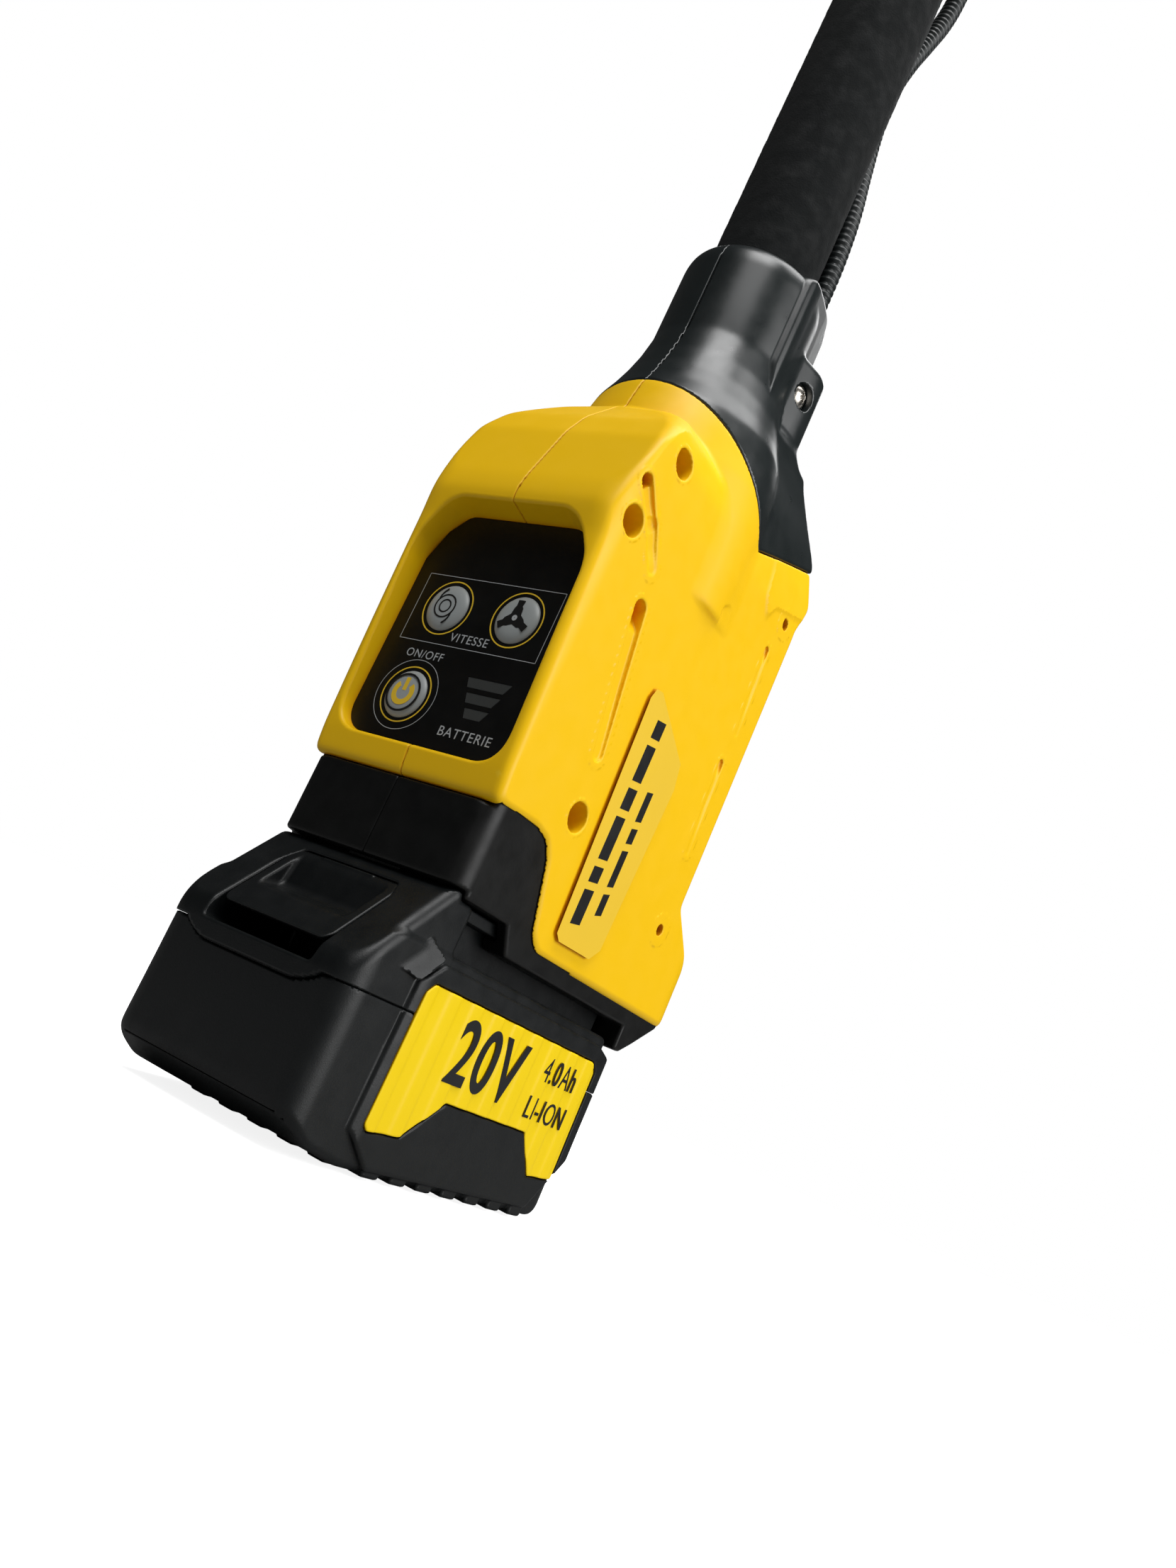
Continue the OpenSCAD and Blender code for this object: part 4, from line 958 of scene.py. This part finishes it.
def build_screws():
    for number, (sy, sz, side) in enumerate(SCREWS):
        piece = solid(f"shell_screw_{number}", screw_field(32), (-32, -4, -4), (3, 4, 4), 0.3)
        place = Matrix.Translation(Vector((side * SCREW_SEAT, sy, sz)) * MM)
        piece.data.transform(place @ Matrix.Rotation(0 if side > 0 else math.pi, 4, "Z"))
        dress(piece, "nickel_screw", "housing", "shell_screws")
    piece = solid("neck_pan_screw", screw_field(30), (-30, -4, -4), (3, 4, 4), 0.2)
    piece.data.transform(Matrix.Translation(Vector((NECK_SCREW_SEAT, *NECK_SCREW)) * MM)
                         @ Matrix.Rotation(math.radians(35), 4, "X"))
    dress(piece, "nickel_screw", "housing", "neck_screw")


# ---- Control panel ----

# How far print stands above its ground and reaches into it
PRINT, SINK = 0.05, 0.15


def flat_piece(name, outlines, base, height=PRINT):
    """Print on the panel, from closed (x, z) outlines, standing height above base."""
    return prisms(name, outlines, (base + SINK, base - height))


def rectangle(x0, x1, z0, z1):
    return [(x0, z0), (x1, z0), (x1, z1), (x0, z1)]


def polar(centre, r, degrees):
    a = math.radians(degrees)
    return centre[0] + r * math.cos(a), centre[1] + r * math.sin(a)


def band(centre, r, width, start=0.0, end=360.0, grow=0.0, steps=48):
    """Arc of a ring as a row of four-sided outlines. grow widens its radius along the way."""
    rows = []
    for k in range(steps + 1):
        angle, radius = start + (end - start) * k / steps, r + grow * k / steps
        rows.append([polar(centre, radius + s, angle) for s in (-width / 2, width / 2)])
    return [[a[0], a[1], b[1], b[0]] for a, b in zip(rows, rows[1:])]


def ring_piece(name, centre, r_in, r_out, base, height=PRINT):
    """Closed flat ring standing on the panel."""
    low, high = base + SINK, base - height
    section = [(r_in, low), (r_in, high), (r_out, high), (r_out, low)]
    return turned(name, section, centre, 64, upright=False, smooth=False)


def button_place(node):
    """Centre on the panel, radius, and front and back y of a button."""
    low, high = corners(node)
    return (low + high)[[0, 2]] / 2, (high[0] - low[0]) / 2, low[1], high[1]


def build_button(node, icon):
    centre, r, face, back = button_place(node)
    rise = PANEL_Y - face
    profile = [(0.0, back), (r, back)]
    profile += [(r * t, face + rise * t ** 5) for t in np.linspace(1, 0, 15)]
    piece = turned(node + "_dome", profile, centre, upright=False, closed=False)
    dress(outward(piece, merge=True), "button_grey", node, node)
    icon(node, centre, face)


def line_head_icon(node, centre, face):
    arcs = band(centre, 2.0, 0.5) + band(centre, 3.7, 0.5)
    for turn in (0, 180):
        arcs += band(centre, 3.8, 0.5, 148 + turn, 104 + turn, 1.9, 16)
    dress(flat_piece(node + "_icon", arcs, face), "print_dark", node)


# One of the three blades as (radius, angle)
BLADE = [(2.1, 30), (2.7, 52), (3.5, 64), (4.0, 76), (5.8, 79), (5.8, 102), (4.0, 106), (3.3, 118)]


def blade_icon(node, centre, face):
    outline = [polar(centre, r, angle + turn) for turn in (0, 120, 240) for r, angle in BLADE]
    dress(flat_piece(node + "_icon", [outline], face), "print_dark", node)
    dress(ring_piece(node + "_hub", centre, 0.15, 0.9, face - PRINT, 0.04), "print_grey", node)


def power_icon(node, centre, face):
    mark = band(centre, 3.2, 1.7, 132, 408, 0, 40)
    (x, z), stem, foot, tip = centre, 0.7, 0.6, 4.7
    mark.append(rectangle(x - stem, x + stem, z + foot, z + tip))
    dress(flat_piece(node + "_icon", mark, face), "print_gold", node)
    dress(ring_piece(node + "_mark_ring", centre, 5.5, 6.1, face), "print_dark", node)


def lettering(name, words, size, centre, finish, to_place, body, thick=0.05, squeeze=1.0, bold=0.0,
              spacing=1.0):
    """Plain generic words as a thin solid. to_place carries the words from their own XY plane."""
    curve = bpy.data.curves.new(name, "FONT")
    curve.body = words
    curve.size = size * MM
    curve.align_x = curve.align_y = "CENTER"
    curve.extrude = thick * MM
    curve.offset = bold * MM
    curve.space_character = spacing
    source = placed(name + "_source", curve)
    bpy.context.view_layer.update()
    evaluated = source.evaluated_get(bpy.context.evaluated_depsgraph_get())
    mesh = bpy.data.meshes.new_from_object(evaluated)
    bpy.data.objects.remove(source)
    mesh.name = name
    squeezed = to_place @ Matrix.Diagonal((squeeze, 1, 1, 1))
    mesh.transform(Matrix.Translation(Vector(centre) * MM) @ squeezed)
    dress(placed(name, mesh), finish, body)


FACING_FRONT = Matrix.Rotation(math.pi / 2, 4, "X")
FACING_RIGHT = Matrix.Rotation(math.pi / 2, 4, "Z") @ Matrix.Rotation(math.pi / 2, 4, "X")


def build_panel():
    for node, icon in (("power_button", power_icon), ("line_speed_button", line_head_icon),
                       ("blade_speed_button", blade_icon)):
        build_button(node, icon)
        centre, r, _, _ = button_place(node)
        ring = ring_piece(node + "_ring", centre, r + 1.1, r + 1.5, PANEL_Y, 0.10)
        dress(ring, "print_gold", "housing")
    power = button_place("power_button")[0]
    dress(ring_piece("power_outer_ring", power, 11.1, 11.3, PANEL_Y, 0.03), "print_grey", "housing")
    thin = 0.1
    x, z0, z1 = 26.0, 141.0, 163.2
    strips = [rectangle(-x, x, z, z + 2 * thin) for z in (z0, z1)]
    strips += [rectangle(s - thin, s + thin, z0, z1 + thin) for s in (-x, x)]
    dress(flat_piece("panel_frame_line", strips, PANEL_Y, 0.03), "print_grey", "housing")
    for name, words, size, x, z in (
            ("word_speed", "VITESSE", 3.9, 0, 144.0), ("word_power", "ON/OFF", 3.7, -13.4, 137.0),
            ("word_battery", "BATTERIE", 4.2, 14, 115.8)):
        lettering(name, words, size, (x, PANEL_Y, z), "print_grey", FACING_FRONT, "housing",
                  spacing=1.12)


# ---- Side label and battery rating ----

def build_label():
    outline = [(-8, 79.5), (-5.5, 77.7), (13, 78), (17, 82), (20, 138), (17.6, 146), (-7.5, 158.6),
               (-11, 158), (-12.3, 154.5)]
    film = prisms("side_label_film", [outline], (SIDE_FACE, SIDE_FACE + 0.12), along_x=True)
    dress(film, "label_film", "housing", "side_label")
    bars, lean, gap = [], 1.0, 2.4
    for y, z, width, lengths in (
            (-1.6, 84, 5.2, (11, 5, 14, 7, 12, 6)), (8.0, 90, 3.4, (7, 12, 5, 10))):
        low, high = y - width / 2, y + width / 2
        for length in lengths:
            bars.append([(low, z), (high, z + lean), (high, z + length + lean), (low, z + length)])
            z += length + gap
    heights = (SIDE_FACE + 0.10, SIDE_FACE + 0.16)
    dress(prisms("side_label_bars", bars, heights, along_x=True), "print_dark", "housing")


def build_rating():
    for name, words, size, y, z, squeeze, bold in (
            ("rating_volts", "20V", 25, -13.5, 37.5, 0.80, 0.40),
            ("rating_capacity", "4.0Ah", 10.5, 24.5, 43.2, 0.72, 0.0),
            ("rating_chemistry", "LI-ION", 9.5, 24.5, 31.4, 0.78, 0.0)):
        lettering(name, words, size, (PAD_W + 0.06, y, z), "print_dark", FACING_RIGHT, "battery",
                  0.11, squeeze, bold, 1.10)


# ---- CAD pieces that stay ----

def dress_cad_nodes():
    slots = {s["node"]: s["material_slot"] for s in frame["record"]["subparts"]}
    for name, node in frame["nodes"].items():
        if not node.hide_render:
            dress(node, slots[name])


# ---- Floor, light and camera ----

def pale_floor():
    bpy.ops.mesh.primitive_plane_add(size=60, location=(0, 0, -0.0004))
    floor = bpy.context.object
    floor.name = "studio_floor"
    paper = bpy.data.materials.new("pale_paper")
    paper.use_nodes = True
    tree = paper.node_tree
    seen = tree.nodes.new("ShaderNodeLightPath").outputs["Is Camera Ray"]
    fill(tree, tree.nodes["Principled BSDF"], {
        "Base Color": switched(tree, seen, 0.22, 0.8), "Specular IOR Level": 0.0, "Roughness": 0.9,
        "Emission Color": (1, 1, 1, 1), "Emission Strength": switched(tree, seen, 0.0, 0.86)})
    floor.data.materials.append(paper)


def soft_box(name, place, target, size, radiance):
    """Rectangular lamp of a given brightness, so that its size doesn't change its highlight."""
    light = bpy.data.lights.new(name, "AREA")
    light.shape = "RECTANGLE"
    light.size, light.size_y = size
    light.energy = radiance * math.pi * size[0] * size[1]
    lamp = placed(name, light)
    lamp.location = place
    lamp.rotation_euler = (Vector(target) - Vector(place)).to_track_quat("-Z", "Y").to_euler()


def studio():
    bpy.context.scene.view_settings.view_transform = "Standard"
    pale_floor()
    middle = (0, 0, 0.18)
    soft_box("side_light", (1.30, 0.20, 0.46), middle, (0.90, 1.1), 4.8)
    soft_box("top_light", (0.30, 0.15, 1.60), middle, (0.9, 0.9), 4.0)
    soft_box("front_light", (0.40, -0.85, 1.65), middle, (0.9, 0.9), 7.2)
    soft_box("back_light", (-0.5, 1.0, 1.6), middle, (1.0, 1.0), 4.0)
    world = bpy.data.worlds.new("studio_world")
    bpy.context.scene.world = world
    world.use_nodes = True
    tree = world.node_tree
    path = tree.nodes.new("ShaderNodeLightPath")
    unseen = switched(tree, path.outputs["Is Glossy Ray"], 0.20, 0.04)
    strength = switched(tree, path.outputs["Is Camera Ray"], unseen, 1.0)
    fill(tree, tree.nodes["Background"], {"Color": (1, 1, 1, 1), "Strength": strength})


def camera():
    """Low three-quarter view from the panel's right, rolled so that the tube leans right."""
    image_w, image_h, focal_px, sensor = 1659, 2212, 1747.67, 36.0
    right = Vector((0.79668435, 0.45718079, 0.39532235))
    down = Vector((0.21023106, 0.40361692, -0.89044724))
    ahead = Vector((-0.56665417, 0.79251442, 0.22544168))
    data = bpy.data.cameras.new("photo_camera")
    data.lens = focal_px * sensor / max(image_w, image_h)
    data.sensor_width = sensor
    data.clip_start, data.clip_end = 0.01, 50
    eye = placed("photo_camera", data)
    turn = Matrix((right, -down, -ahead)).transposed().to_4x4()
    eye.matrix_world = Matrix.Translation(Vector((0.2368, -0.3027, 0.041))) @ turn
    bpy.context.scene.camera = eye


for build in (build_shells, build_neck, build_seat, build_battery, build_sleeve, build_conduit,
              build_plug, build_latch_spring, build_screws, build_panel, build_label, build_rating,
              dress_cad_nodes, studio, camera):
    build()
